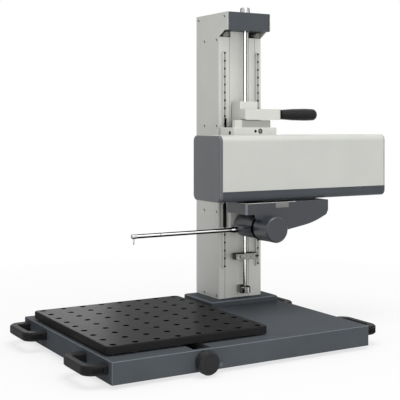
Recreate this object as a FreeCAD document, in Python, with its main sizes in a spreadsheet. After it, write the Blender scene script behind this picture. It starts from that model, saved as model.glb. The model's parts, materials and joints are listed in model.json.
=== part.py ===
import FreeCAD, Part
import math
import os
import Sketcher

# Contour measuring machine on a bench base: a sliding hole plate on the left, a column on the right,
# and a drive unit on the column that carries a probe head with a long measuring arm.
# +X to the right, +Y to the back, +Z up. The origin is on the bench, under the middle of the base.

SIZES = {
    # fits and clearances
    "running_gap": 0.05,
    "side_gap": 0.4,
    "shaft_edge": 0.5,
    "seat_gap": 0.3,
    "motion_gap": 5,
    # base, feet and plinth
    "base_length": 648,
    "base_width": 512,
    "base_height": 46,
    "base_edge": 2,
    "foot_radius": 20,
    "foot_height": 8,
    "foot_inset": 62,
    "slot_width": 42,
    "slot_depth": 36,
    "slot_wall": 8,
    "slot_end": 60,
    "plinth_length": 200,
    "plinth_width": 146,
    "plinth_height": 14,
    "plinth_chamfer": 3,
    "plinth_margin": 7,
    "column_offset": 2,
    # column
    "column_width": 130,
    "column_depth": 116,
    "column_height": 740,
    "cover_wall": 2,
    "core_wall": 12,
    "recess_width": 55,
    "recess_depth": 2,
    "ear_reach": 46,
    "ear_lip": 18,
    "ear_height": 46,
    "ear_slope": 15,
    "cap_edge": 1,
    # rails, guide rod and stop
    "rail_width": 9,
    "rail_height": 8.5,
    "rail_spacing": 102,
    "rail_length": 561,
    "rail_foot": 79,
    "rail_groove": 1.5,
    "rail_groove_margin": 2.55,
    "rod_radius": 4.75,
    "rod_reach": 25,
    "rod_bottom": 18,
    "rod_top_drop": 2,
    "nut_radius": 12.5,
    "nut_height": 14,
    "nut_foot_edge": 1,
    "nut_top_edge": 2,
    "boss_radius": 14,
    "boss_height": 17,
    "boss_foot": 15,
    "boss_edge": 2,
    "boss_web": 16,
    "stop_length": 64,
    "stop_width": 27,
    "stop_height": 15,
    "stop_level": 71,
    "stop_slit": 2,
    "stop_corner": 6,
    "stop_screw_radius": 3.25,
    "stop_screw_inset": 12.4,
    "stop_screw_length": 27,
    "stop_screw_head": 3,
    # handles
    "handle_length": 135,
    "handle_reach": 50,
    "handle_height": 20,
    "handle_level": 18,
    "handle_inset": 17,
    "handle_bar": 18,
    "handle_leg": 24,
    "handle_corner": 28,
    "handle_inner_corner": 9,
    "handle_edge": 3,
    "handle_slot_length": 27,
    "handle_slot_height": 9,
    "handle_slot_depth": 5,
    "handle_slot_inset": 9,
    "stud_radius": 4,
    "stud_length": 30,
    # table
    "plate_length": 390,
    "plate_width": 430,
    "plate_thickness": 16,
    "plate_gap": 4,
    "plate_corner": 12,
    "plate_edge": 3,
    "plate_side_gap": 43,
    "slot_offset": 6,
    "plate_front": 43,
    "hole_pitch": 50,
    "hole_radius": 5,
    "holes_across": 8,
    "holes_deep": 9,
    "slide_length": 160,
    "slide_flange": 120,
    "slide_flange_height": 3.5,
    "stem_gap": 2,
    "guide_radius": 4,
    "guide_spacing": 26,
    "guide_level": 10,
    "guide_seat": 6,
    "plate_screw_radius": 3,
    "plate_screw_length": 9,
    "plate_screw_pitch": 100,
    # table knob and its lock
    "knob_radius": 24.5,
    "knob_front_radius": 21.5,
    "knob_length": 19,
    "knob_level": 25.5,
    "knob_disc_radius": 11,
    "knob_disc_height": 1.5,
    "knob_disc_edge": 0.5,
    "knob_face": 6,
    "knob_slope": 4,
    "knob_edge": 1,
    "spindle_radius": 5,
    "spindle_length": 290,
    "bush_radius": 9,
    "lock_radius": 18,
    "lock_height": 5.2,
    "lock_lever_radius": 4,
    "lock_lever_length": 42,
    "lock_lever_root": 12,
    "lock_lever_drop": 15,
    # drive unit
    "drive_length": 512,
    "drive_width": 130,
    "drive_height": 161,
    "drive_left": 160,
    "drive_level": 332,
    "drive_corner": 15,
    "drive_wall": 4,
    "drive_tray_height": 26,
    "drive_left_cap": 9,
    "drive_right_cap": 5,
    "left_cap_edge": 3,
    "right_cap_edge": 1.5,
    "drive_slot_width": 34,
    "head_travel_left": 40,
    "head_travel_right": 100,
    "beam_width": 60,
    "beam_height": 59,
    "beam_end_gap": 12,
    "x_rail_width": 20,
    "x_rail_height": 15,
    "x_screw_radius": 6,
    "x_screw_level": 68,
    "x_screw_inset": 16,
    "motor_side": 42,
    "motor_length": 70,
    "motor_chamfer": 4,
    "bearing_length": 12,
    "bearing_wall": 4.5,
    "scale_thickness": 3,
    "scale_height": 20,
    "scale_level": 53,
    # carriage
    "carriage_plate": 20,
    "carriage_gap": 16,
    "carriage_tongue": 102,
    "carriage_tongue_height": 77,
    "rail_block_width": 20,
    "rail_block_length": 60,
    "rail_block_lift": 1,
    "rail_block_edge": 1,
    "rod_clearance": 3,
    "bridge_height": 19,
    "bridge_front": 50,
    "bridge_back_gap": 1.5,
    "bridge_edge": 1,
    "riser_length": 108,
    "riser_height": 18.5,
    "riser_front": 38,
    "riser_bar": 12.6,
    "clamp_length": 54,
    "clamp_width": 40,
    "clamp_height": 48.5,
    "clamp_front": 19,
    "clamp_slit": 2,
    # clamp lever
    "lever_length": 110,
    "lever_width": 24,
    "lever_height": 28,
    "lever_left": 26,
    "lever_lift": 1,
    "lever_end_radius": 5,
    "lever_heel_radius": 4,
    "lever_pin_radius": 5,
    "lever_pin_inset": 10,
    "lever_pin_level": 12,
    "lever_front_wall": 4,
    "lever_pin_end": 2,
    "grip_neck_radius": 8,
    "grip_neck": 4,
    "grip_neck_seat": 10,
    "grip_radius": 16,
    "grip_root_radius": 12.5,
    "grip_length": 116,
    "grip_swell": 80,
    "grip_belly": 0.8,
    "grip_root_edge": 1.5,
    "grip_end_drop": 0.7,
    "grip_end_radius": 13,
    # probe head
    "head_length": 248,
    "head_left": 74,
    "head_front": 1,
    "head_depth": 89,
    "head_height": 28,
    "head_gap": 4,
    "head_chamfer": 4,
    "keel_depth": 33,
    "keel_overlap": 7,
    "keel_left": 28.8,
    "keel_flank": 22.4,
    "keel_flank_height": 16,
    "keel_wrap": 19.2,
    "keel_wrap_drop": 12.8,
    "keel_root": 54.4,
    "keel_tip_height": 25,
    "keel_nose_inset": 5,
    "keel_nose_height": 37,
    "keel_bend_inset": 46,
    "keel_bend_height": 56,
    "keel_root_height": 69,
    "keel_bend_radius": 220,
    "keel_nose_radius": 8,
    "drum_radius": 32,
    "drum_inset": 72,
    "drum_drop": 37,
    "drum_reach": 29,
    "drum_length": 65,
    "drum_cap": 6,
    "drum_bevel": 3,
    "drum_rear_radius": 30,
    "drum_rear_length": 82,
    "drum_rear_edge": 3,
    "drum_rear_neck": 22,
    "drum_ring": 5,
    "pivot_radius": 5,
    "pivot_length": 112,
    "bearing_radius": 11,
    "bearing_width": 7,
    "bearing_inset": 4,
    "slider_length": 80,
    "slider_width": 50,
    "slider_height": 46,
    "neck_width": 26,
    "nut_block_length": 30,
    "nut_block_height": 26,
    "reader_length": 28,
    "reader_height": 12,
    "reader_gap": 0.8,
    # measuring arm
    "arm_depth": 27,
    "arm_drop": 5,
    "arm_radius": 5,
    "arm_wall": 1,
    "arm_length": 267,
    "arm_reach": 67,
    "arm_collar_radius": 7.5,
    "arm_collar_length": 4,
    "arm_collar_taper": 8,
    "arm_collar_rim": 0.8,
    "arm_collar_edge": 0.5,
    "arm_coupling_radius": 6.3,
    "arm_coupling_length": 12,
    "nose_width": 45,
    "nose_height": 18,
    "nose_chamfer": 5,
    "tip_length": 12,
    "tip_seat": 8,
    "tip_round": 3.3,
    "tip_radius": 5.6,
    "stylus_radius": 1.75,
    "stylus_length": 22,
    "stylus_point": 4,
    "stylus_seat": 2,
    "stylus_end_radius": 0.3,
}


class Size:
    """A number, together with the expression over the sheet's cells that gives it."""

    def __init__(self, text, value):
        self.text = text
        self.value = float(value)

    def __add__(self, other):
        return joined(self, "+", other, self.value + number(other))

    def __radd__(self, other):
        return joined(other, "+", self, number(other) + self.value)

    def __sub__(self, other):
        return joined(self, "-", other, self.value - number(other))

    def __rsub__(self, other):
        return joined(other, "-", self, number(other) - self.value)

    def __mul__(self, other):
        return joined(self, "*", other, self.value * number(other))

    def __rmul__(self, other):
        return joined(other, "*", self, number(other) * self.value)

    def __truediv__(self, other):
        return joined(self, "/", other, self.value / number(other))

    def __neg__(self):
        return joined(0, "-", self, -self.value)


def number(size):
    return size.value if isinstance(size, Size) else float(size)


def words(size):
    return size.text if isinstance(size, Size) else repr(float(size))


def joined(left, sign, right, value):
    return Size(f"({words(left)} {sign} {words(right)})", value)


doc = FreeCAD.newDocument("contour_measuring_machine")
sheet = doc.addObject("Spreadsheet::Sheet", "Sizes")
for row, (alias, amount) in enumerate(SIZES.items(), start=1):
    sheet.set(f"A{row}", alias)
    sheet.set(f"B{row}", str(amount))
    sheet.setAlias(f"B{row}", alias)
doc.recompute()

S = {alias: Size(f"Sizes.{alias}", amount) for alias, amount in SIZES.items()}
LEFT, RIGHT = -1, 1
FRONT, REAR = -1, 1
END_STEPS = 8
pieces = []


# Modelling helpers

def bind(obj, path, size):
    """Tie one property of an object to the sheet."""
    if isinstance(size, Size):
        obj.setExpression(path, size.text)
    elif path.startswith("Constraints"):
        obj.setExpression(path, words(size))
    elif float(size):
        obj.setExpression(path, words(size))


def new_body(label, in_group=False):
    """A body for one piece. A body that is in a group has no node of its own."""
    body = doc.addObject("PartDesign::Body", label)
    body.Label = label
    if not in_group:
        pieces.append(body)
    return body


def new_sketch(body, plane, offset):
    """A sketch on one of the body's own planes, moved by an offset in that plane's directions."""
    sketch = body.newObject("Sketcher::SketchObject", f"{body.Name}_sketch")
    for feature in body.Origin.OriginFeatures:
        if feature.Role == f"{plane}_Plane":
            sketch.AttachmentSupport = (feature, [""])
    sketch.MapMode = "FlatFace"
    for axis, distance in zip("xyz", offset):
        bind(sketch, f"AttachmentOffset.Base.{axis}", distance)
    return sketch


def hold_point(sketch, geometry, position, x, y):
    """Hold a point of the sketch at its distances from the sketch's origin."""
    for kind, distance in (("DistanceX", x), ("DistanceY", y)):
        index = sketch.addConstraint(
            Sketcher.Constraint(kind, -1, 1, geometry, position, number(distance))
        )
        bind(sketch, f"Constraints[{index}]", distance)


def draw_outline(sketch, corners):
    """A closed outline of straight lines through the corners."""
    points = [FreeCAD.Vector(number(x), number(y), 0) for x, y in corners]
    first = sketch.GeometryCount
    count = len(points)
    for start, end in zip(points, points[1:] + points[:1]):
        sketch.addGeometry(Part.LineSegment(start, end))
    for step in range(count):
        following = first + (step + 1) % count
        sketch.addConstraint(Sketcher.Constraint("Coincident", first + step, 2, following, 1))
    for step, (x, y) in enumerate(corners):
        hold_point(sketch, first + step, 1, x, y)


def draw_circle(sketch, x, y, radius):
    centre = FreeCAD.Vector(number(x), number(y), 0)
    index = sketch.addGeometry(Part.Circle(centre, FreeCAD.Vector(0, 0, 1), number(radius)))
    hold_point(sketch, index, 3, x, y)
    constraint = sketch.addConstraint(Sketcher.Constraint("Radius", index, number(radius)))
    bind(sketch, f"Constraints[{constraint}]", radius)


def rectangle(x, y, length, width):
    return [(x, y), (x + length, y), (x + length, y + width), (x, y + width)]


def layer(plane, start, length, adding):
    """Offset of the sketch plane for a slab from start to start + length along the plane's axis.

    A slab that is added grows along the plane's normal, and one that is cut goes against it. The
    normal of the XZ plane points to the front.
    """
    if plane == "XZ":
        return -(start + length) if adding else -start
    return start if adding else start + length


def slab(body, plane, start, length, outlines=(), circles=(), adding=True):
    """Add or cut a slab with the given outlines and circles, from start along the plane's axis."""
    sketch = new_sketch(body, plane, (0, 0, layer(plane, start, length, adding)))
    for corners in outlines:
        draw_outline(sketch, corners)
    for x, y, radius in circles:
        draw_circle(sketch, x, y, radius)
    kind = "PartDesign::Pad" if adding else "PartDesign::Pocket"
    feature = body.newObject(kind, f"{body.Name}_{kind[12:].lower()}")
    feature.Profile = sketch
    bind(feature, "Length", length)
    sketch.Visibility = False
    body.Tip = feature
    return feature


def cut(body, plane, start, length, outlines=(), circles=()):
    return slab(body, plane, start, length, outlines, circles, adding=False)


def treat_edges(body, kind, size, chosen):
    """Round or chamfer the edges of the body that the test chooses."""
    doc.recompute()
    names = [f"Edge{i}" for i, edge in enumerate(body.Tip.Shape.Edges, start=1) if chosen(edge)]
    if not names:
        raise RuntimeError(f"{body.Label}: no edge to treat")
    base = body.Tip
    feature = body.newObject(f"PartDesign::{kind}", f"{body.Name}_{kind.lower()}")
    feature.Base = (base, names)
    bind(feature, "Radius" if kind == "Fillet" else "Size", size)
    body.Tip = feature
    return feature


def runs_along(edge, axis):
    """True for a straight edge along the axis x, y or z."""
    if edge.Curve.TypeId != "Part::GeomLine":
        return False
    direction = edge.tangentAt(edge.FirstParameter)
    return abs(getattr(direction, axis)) > 0.999


def lies_at(edge, **places):
    """True for an edge all of whose points are at the given x, y or z."""
    box = edge.BoundBox
    for axis, place in places.items():
        low = getattr(box, f"{axis.upper()}Min")
        high = getattr(box, f"{axis.upper()}Max")
        if abs(low - number(place)) > 0.01 or abs(high - number(place)) > 0.01:
            return False
    return True


def turned(label, axis, centre, profile, in_group=False):
    """A body turned from a profile of (place along the axis, radius) pairs."""
    body = new_body(label, in_group)
    across, up = centre
    if axis == "y":
        sketch = new_sketch(body, "XY", (across, 0, up))
        corners = [(radius, along) for along, radius in profile]
    elif axis == "z":
        sketch = new_sketch(body, "XZ", (across, 0, -up))
        corners = [(radius, along) for along, radius in profile]
    else:
        sketch = new_sketch(body, "XY", (0, across, up))
        corners = profile
    draw_outline(sketch, corners)
    feature = body.newObject("PartDesign::Revolution", f"{label}_turned")
    feature.Profile = sketch
    feature.ReferenceAxis = (sketch, ["H_Axis" if axis == "x" else "V_Axis"])
    feature.Angle = 360
    sketch.Visibility = False
    body.Tip = feature
    return body


def rounded_end(end, radius, corner, side):
    """Profile points of a rounded end on the given side, on an arc and then in to the axis."""
    points = []
    for step in range(END_STEPS + 1):
        angle = math.pi / 2 * step / END_STEPS
        along = end - side * (1 - math.sin(angle)) * corner
        points.append((along, radius - (1 - math.cos(angle)) * corner))
    return points + [(end, 0)]


def shaft(label, axis, centre, start, length, radius, in_group=False):
    """A plain round shaft with small chamfers at both ends."""
    end = start + length
    chamfer = S["shaft_edge"]
    profile = [
        (start, 0),
        (start, radius - chamfer),
        (start + chamfer, radius),
        (end - chamfer, radius),
        (end, radius - chamfer),
        (end, 0),
    ]
    return turned(label, axis, centre, profile, in_group)


def together(label, bodies):
    """Identical bodies that share one node, as separate solids."""
    compound = doc.addObject("Part::Compound", label)
    compound.Label = label
    compound.Links = bodies
    pieces.append(compound)
    return compound


def group(label, solids):
    """Identical plain fasteners or feet that share one node, as separate solids."""
    feature = doc.addObject("Part::Feature", label)
    feature.Label = label
    feature.Shape = Part.makeCompound(solids)
    pieces.append(feature)
    return feature


# Places that several pieces share

base_left = -S["base_length"] / 2
base_right = S["base_length"] / 2
base_front = -S["base_width"] / 2
base_back = S["base_width"] / 2
base_bottom = S["foot_height"]
base_top = base_bottom + S["base_height"]
plinth_right = base_right - S["plinth_margin"]
plinth_left = plinth_right - S["plinth_length"]
plinth_top = base_top + S["plinth_height"]
plate_left = plinth_left - S["plate_side_gap"] - S["plate_length"]
slot_x = plate_left + S["plate_length"] / 2 + S["slot_offset"]
slot_floor = base_top - S["slot_depth"]
slot_front = base_front + S["slot_wall"]
slot_back = base_back - S["slot_end"]
guide_z = base_top - S["guide_level"]
knob_z = base_top - S["knob_level"]
handle_y = base_back - S["handle_inset"] - S["handle_length"] / 2
handle_bottom = base_bottom + S["handle_level"]
handle_top = handle_bottom + S["handle_height"]

column_x = plinth_right - S["plinth_length"] / 2 + S["column_offset"]
column_left = column_x - S["column_width"] / 2
column_right = column_x + S["column_width"] / 2
column_front = base_back - S["column_depth"]
column_top = plinth_top + S["column_height"]
recess_floor = column_front + S["recess_depth"]
ear_front = column_front - S["ear_reach"]
ear_bottom = column_top - S["ear_height"]
core_top = ear_bottom - S["ear_slope"]

rod_y = column_front - S["rod_reach"]
rod_start = plinth_top + S["rod_bottom"]
rail_start = plinth_top + S["rail_foot"]
rail_front = column_front - S["rail_height"]
stop_bottom = plinth_top + S["boss_foot"] + S["boss_height"] + S["stop_level"]
bridge_front = rod_y - S["bridge_front"]
riser_front = rod_y - S["riser_front"]
clamp_front = riser_front + S["clamp_front"]
lever_left = column_x - S["lever_left"]
lever_pin_end = rod_y - S["rod_radius"] - S["lever_pin_end"]

drive_left = column_x - S["drive_left"]
drive_right = drive_left + S["drive_length"]
carriage_back = column_front - S["carriage_gap"]
drive_back = carriage_back - S["carriage_plate"]
drive_front = drive_back - S["drive_width"]
drive_bottom = S["drive_level"]
drive_top = drive_bottom + S["drive_height"]
tray_top = drive_bottom + S["drive_tray_height"]
inner_front = drive_front + S["drive_wall"]
inner_back = drive_back - S["drive_wall"]
inner_left = drive_left + S["drive_left_cap"]
inner_right = drive_right - S["drive_right_cap"]
beam_y = (drive_front + drive_back) / 2
beam_bottom = drive_top - S["drive_wall"] - S["beam_height"]
x_rail_bottom = beam_bottom - S["x_rail_height"]
x_screw_y = inner_back - S["x_screw_inset"] - S["x_screw_radius"]
x_screw_z = drive_bottom + S["x_screw_level"]
scale_z = drive_bottom + S["scale_level"]

head_top = drive_bottom - S["head_gap"]
head_bottom = head_top - S["head_height"]
head_front = drive_front - S["head_front"]
head_left = drive_left + S["head_left"]
head_right = head_left + S["head_length"]
slider_left = head_left + (S["head_length"] - S["slider_length"]) / 2
slider_top = beam_bottom - S["seat_gap"]
slider_bottom = slider_top - S["slider_height"]
drum_x = head_left + S["drum_inset"]
drum_z = head_bottom - S["drum_drop"]
drum_front = head_front - S["drum_reach"]
drum_back = drum_front + S["drum_length"]
rear_drum_front = drum_back + S["drum_ring"]
arm_y = rear_drum_front + S["arm_depth"]
arm_z = drum_z - S["arm_drop"]
arm_right = drum_x - S["arm_reach"]
arm_left = arm_right - S["arm_length"]


# Stand: base, feet, plinth

def make_base():
    body = new_body("base_plate")
    outline = rectangle(base_left, base_front, S["base_length"], S["base_width"])
    slab(body, "XY", base_bottom, S["base_height"], [outline])
    treat_edges(body, "Fillet", S["base_edge"], lambda edge: not lies_at(edge, z=base_bottom))
    slot = rectangle(slot_x - S["slot_width"] / 2, slot_front, S["slot_width"], slot_back - slot_front)
    cut(body, "XY", slot_floor, S["slot_depth"], [slot])
    guides = [
        (slot_x + side * S["guide_spacing"] / 2, guide_z, S["guide_radius"] + S["running_gap"])
        for side in (LEFT, RIGHT)
    ]
    guide_holes = slot_back - slot_front + 2 * S["guide_seat"]
    cut(body, "XZ", slot_front - S["guide_seat"], guide_holes, circles=guides)
    bush = (slot_x, knob_z, S["bush_radius"])
    cut(body, "XZ", base_front, S["slot_wall"], circles=[bush])
    for side in (LEFT, RIGHT):
        start = base_left if side == LEFT else base_right - S["stud_length"] / 2
        studs = [(y, z, S["stud_radius"]) for y, z in stud_places()]
        cut(body, "YZ", start, S["stud_length"] / 2, circles=studs)


def make_feet():
    for_x = S["base_length"] / 2 - S["foot_inset"]
    for_y = S["base_width"] / 2 - S["foot_inset"]
    feet = []
    for x in (-for_x, for_x):
        for y in (-for_y, for_y):
            place = FreeCAD.Vector(x.value, y.value, 0)
            feet.append(Part.makeCylinder(S["foot_radius"].value, S["foot_height"].value, place))
    group("base_feet", feet)


def make_plinth():
    body = new_body("column_plinth")
    front = base_back - S["plinth_width"]
    outline = rectangle(plinth_left, front, S["plinth_length"], S["plinth_width"])
    slab(body, "XY", base_top, S["plinth_height"], [outline])
    treat_edges(body, "Chamfer", S["plinth_chamfer"], lambda edge: lies_at(edge, z=plinth_top))


# Column: extruded core, sheet covers, cap, rails and guide rod

def make_core():
    body = new_body("column_core")
    left = column_left + S["cover_wall"]
    right = column_right - S["cover_wall"]
    back = base_back - S["cover_wall"]
    recess_left = column_x - S["recess_width"] / 2
    recess_right = column_x + S["recess_width"] / 2
    outline = [
        (left, column_front),
        (recess_left, column_front),
        (recess_left, recess_floor),
        (recess_right, recess_floor),
        (recess_right, column_front),
        (right, column_front),
        (right, back),
        (left, back),
    ]
    hollow_front = recess_floor + S["core_wall"]
    hollow = rectangle(
        left + S["core_wall"],
        hollow_front,
        S["column_width"] - 2 * S["cover_wall"] - 2 * S["core_wall"],
        back - S["core_wall"] - hollow_front,
    )
    slab(body, "XY", plinth_top, core_top - plinth_top, [outline, hollow])
    crown = rectangle(recess_left, recess_floor, S["recess_width"], S["core_wall"])
    slab(body, "XY", core_top, ear_bottom - core_top, [crown])


def make_covers():
    for label, start in (
        ("left_side_cover", column_left),
        ("right_side_cover", column_right - S["cover_wall"]),
    ):
        body = new_body(label)
        outline = [
            (ear_front, column_top),
            (ear_front, ear_bottom),
            (ear_front + S["ear_lip"], ear_bottom),
            (column_front, core_top),
            (column_front, plinth_top),
            (base_back, plinth_top),
            (base_back, column_top),
        ]
        slab(body, "YZ", start, S["cover_wall"], [outline])
    body = new_body("rear_cover")
    width = S["column_width"] - 2 * S["cover_wall"]
    outline = rectangle(column_left + S["cover_wall"], plinth_top, width, S["column_height"])
    slab(body, "XZ", base_back - S["cover_wall"], S["cover_wall"], [outline])


def make_cap():
    body = new_body("top_cap")
    width = S["column_width"] - 2 * S["cover_wall"]
    back = base_back - S["cover_wall"]
    outline = [(ear_front, column_top), (ear_front, ear_bottom), (back, ear_bottom), (back, column_top)]
    slab(body, "YZ", column_left + S["cover_wall"], width, [outline])
    top_edges = lambda edge: lies_at(edge, z=column_top) and runs_along(edge, "x")
    treat_edges(body, "Chamfer", S["cap_edge"], top_edges)
    rod_hole = (column_x, rod_y, S["rod_radius"] + S["running_gap"])
    cut(body, "XY", ear_bottom, S["ear_height"], circles=[rod_hole])


def make_rails():
    for label, side in (("left_rail", LEFT), ("right_rail", RIGHT)):
        body = new_body(label)
        x = column_x + side * S["rail_spacing"] / 2
        half = S["rail_width"] / 2
        groove = half - S["rail_groove"]
        low = column_front - S["rail_groove_margin"]
        high = rail_front + S["rail_groove_margin"]
        right_side = [
            (x + half, column_front),
            (x + half, low),
            (x + groove, (low + high) / 2),
            (x + half, high),
            (x + half, rail_front),
        ]
        left_side = [
            (x - half, rail_front),
            (x - half, high),
            (x - groove, (low + high) / 2),
            (x - half, low),
            (x - half, column_front),
        ]
        slab(body, "XY", rail_start, S["rail_length"], [right_side + left_side])


def make_rod():
    length = column_top + S["nut_height"] - S["rod_top_drop"] - rod_start
    shaft("guide_rod", "z", (column_x, rod_y), rod_start, length, S["rod_radius"])

    bore = S["rod_radius"] + S["running_gap"]
    nut_top = column_top + S["nut_height"]
    profile = [
        (column_top, bore),
        (column_top, S["nut_radius"] - S["nut_foot_edge"]),
        (column_top + S["nut_foot_edge"], S["nut_radius"]),
        (nut_top - S["nut_top_edge"], S["nut_radius"]),
        (nut_top, S["nut_radius"] - S["nut_top_edge"]),
        (nut_top, bore),
    ]
    turned("rod_top_nut", "z", (column_x, rod_y), profile)

    body = new_body("rod_foot_bracket")
    bottom = plinth_top + S["boss_foot"]
    circle = (column_x, rod_y, S["boss_radius"])
    slab(body, "XY", bottom, S["boss_height"], circles=[circle])
    web = rectangle(column_x - S["boss_web"] / 2, rod_y, S["boss_web"], recess_floor - rod_y)
    slab(body, "XY", bottom, S["boss_height"], [web])
    top = bottom + S["boss_height"]
    rim = lambda edge: lies_at(edge, z=top) and not runs_along(edge, "x") and not runs_along(edge, "y")
    treat_edges(body, "Chamfer", S["boss_edge"], rim)
    rod_hole = (column_x, rod_y, bore)
    cut(body, "XY", rod_start, top - rod_start, circles=[rod_hole])


def make_stop():
    body = new_body("stop_clamp")
    bottom = stop_bottom
    left = column_x - S["stop_length"] / 2
    front = rod_y - S["stop_width"] / 2
    outline = rectangle(left, front, S["stop_length"], S["stop_width"])
    slab(body, "XY", bottom, S["stop_height"], [outline])
    treat_edges(body, "Fillet", S["stop_corner"], lambda edge: runs_along(edge, "z"))
    slit = rectangle(left, rod_y - S["stop_slit"] / 2, S["stop_length"] / 2, S["stop_slit"])
    cut(body, "XY", bottom, S["stop_height"], [slit])
    rod_hole = (column_x, rod_y, S["rod_radius"] + S["running_gap"])
    screw_x = left + S["stop_screw_inset"]
    cut(body, "XY", bottom, S["stop_height"], circles=[rod_hole])
    screw_hole = (screw_x, bottom + S["stop_height"] / 2, S["stop_screw_radius"])
    cut(body, "XZ", front, S["stop_screw_length"] - S["stop_screw_head"], circles=[screw_hole])
    place = (screw_x, bottom + S["stop_height"] / 2)
    start = front - S["stop_screw_head"]
    shaft("stop_screw", "y", place, start, S["stop_screw_length"], S["stop_screw_radius"])


# Handles: moulded bows with a slot in each end face

def stud_places():
    """Y and Z of the studs that hold the handles, the same on both sides of the base."""
    z = (handle_bottom + handle_top) / 2
    reach = S["handle_length"] / 2 - (S["handle_leg"] + S["handle_slot_depth"]) / 2
    places = []
    for end in (FRONT, REAR):
        for leg in (FRONT, REAR):
            places.append((end * handle_y + leg * reach, z))
    return places


def make_handle(label, side, end):
    body = new_body(label)
    wall = base_left if side == LEFT else base_right
    y = end * handle_y
    half = S["handle_length"] / 2
    outer = wall + side * S["handle_reach"]
    inner = outer - side * S["handle_bar"]
    near = half - S["handle_leg"]
    outline = [
        (wall, y - half),
        (outer, y - half),
        (outer, y + half),
        (wall, y + half),
        (wall, y + near),
        (inner, y + near),
        (inner, y - near),
        (wall, y - near),
    ]
    slab(body, "XY", handle_bottom, S["handle_height"], [outline])
    outer_corners = lambda edge: runs_along(edge, "z") and lies_at(edge, x=outer)
    treat_edges(body, "Fillet", S["handle_corner"], outer_corners)
    inner_corners = lambda edge: runs_along(edge, "z") and lies_at(edge, x=inner)
    treat_edges(body, "Fillet", S["handle_inner_corner"], inner_corners)
    rims = lambda edge: (
        not lies_at(edge, x=wall)
        and (lies_at(edge, z=handle_top) or lies_at(edge, z=handle_bottom))
    )
    treat_edges(body, "Chamfer", S["handle_edge"], rims)
    slot_start = wall + side * S["handle_slot_inset"]
    slot_end = slot_start + side * S["handle_slot_length"]
    slot_bottom = handle_bottom + (S["handle_height"] - S["handle_slot_height"]) / 2
    slot = [
        (slot_start, slot_bottom),
        (slot_end, slot_bottom),
        (slot_end, slot_bottom + S["handle_slot_height"]),
        (slot_start, slot_bottom + S["handle_slot_height"]),
    ]
    cut(body, "XZ", y - half, S["handle_slot_depth"], [slot])
    cut(body, "XZ", y + half - S["handle_slot_depth"], S["handle_slot_depth"], [slot])
    start = wall - S["stud_length"] / 2 if side == LEFT else wall
    studs = [
        (stud_y, z, S["stud_radius"])
        for stud_y, z in stud_places()
        if (stud_y.value > 0) == (end == REAR)
    ]
    cut(body, "YZ", start, S["stud_length"] / 2, circles=studs)


def make_handles():
    make_handle("front_left_handle", LEFT, FRONT)
    make_handle("rear_left_handle", LEFT, REAR)
    make_handle("front_right_handle", RIGHT, FRONT)
    make_handle("rear_right_handle", RIGHT, REAR)
    studs = []
    along_x = FreeCAD.Vector(1, 0, 0)
    for wall in (base_left, base_right):
        for y, z in stud_places():
            start = wall - S["stud_length"] / 2
            place = FreeCAD.Vector(start.value, y.value, z.value)
            studs.append(Part.makeCylinder(S["stud_radius"].value, S["stud_length"].value, place, along_x))
    group("handle_studs", studs)


# Table: plate with its grid of holes, the slide under it, guides, spindle and knob

def make_table():
    bottom = base_top + S["plate_gap"]
    front = base_front + S["plate_front"]
    body = new_body("hole_plate")
    outline = rectangle(plate_left, front, S["plate_length"], S["plate_width"])
    slab(body, "XY", bottom, S["plate_thickness"], [outline])
    treat_edges(body, "Fillet", S["plate_corner"], lambda edge: runs_along(edge, "z"))
    top = bottom + S["plate_thickness"]
    treat_edges(body, "Fillet", S["plate_edge"], lambda edge: lies_at(edge, z=top))
    grid_length = (S["holes_across"] - 1) * S["hole_pitch"]
    grid_width = (S["holes_deep"] - 1) * S["hole_pitch"]
    first_x = plate_left + (S["plate_length"] - grid_length) / 2
    first_y = front + (S["plate_width"] - grid_width) / 2
    hole = (first_x, first_y, S["hole_radius"])
    first_hole = cut(body, "XY", bottom, S["plate_thickness"], circles=[hole])
    doc.recompute()
    grid = body.newObject("PartDesign::LinearPattern", "hole_grid")
    grid.Originals = [first_hole]
    grid.Direction = (first_hole.Profile[0], ["H_Axis"])
    grid.Direction2 = (first_hole.Profile[0], ["V_Axis"])
    bind(grid, "Length", grid_length)
    bind(grid, "Occurrences", S["holes_across"])
    bind(grid, "Length2", grid_width)
    bind(grid, "Occurrences2", S["holes_deep"])
    body.Tip = grid
    flange = S["slide_flange_height"]
    screw_places = plate_screw_places(front + S["plate_width"] / 2)
    screw_holes = [(x, y, S["plate_screw_radius"]) for x, y in screw_places]
    cut(body, "XY", bottom, S["plate_screw_length"] - flange, circles=screw_holes)

    body = new_body("table_slide")
    slide_front = front + (S["plate_width"] - S["slide_length"]) / 2
    stem = S["slot_width"] - 2 * S["side_gap"]
    stem_bottom = slot_floor + S["stem_gap"]
    slab(
        body,
        "XY",
        stem_bottom,
        bottom - flange - stem_bottom,
        [rectangle(slot_x - stem / 2, slide_front, stem, S["slide_length"])],
    )
    plate = rectangle(
        slot_x - S["slide_flange"] / 2, slide_front, S["slide_flange"], S["slide_length"]
    )
    slab(body, "XY", bottom - flange, flange, [plate])
    guides = [
        (slot_x + side * S["guide_spacing"] / 2, guide_z, S["guide_radius"] + S["running_gap"])
        for side in (LEFT, RIGHT)
    ]
    spindle = (slot_x, knob_z, S["spindle_radius"] + S["running_gap"])
    cut(body, "XZ", slide_front, S["slide_length"], circles=guides + [spindle])
    cut(body, "XY", bottom - flange, flange, circles=screw_holes)

    screws = []
    for x, y in screw_places:
        place = FreeCAD.Vector(x.value, y.value, (bottom - flange).value)
        screws.append(
            Part.makeCylinder(S["plate_screw_radius"].value, S["plate_screw_length"].value, place)
        )
    group("plate_screws", screws)


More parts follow.
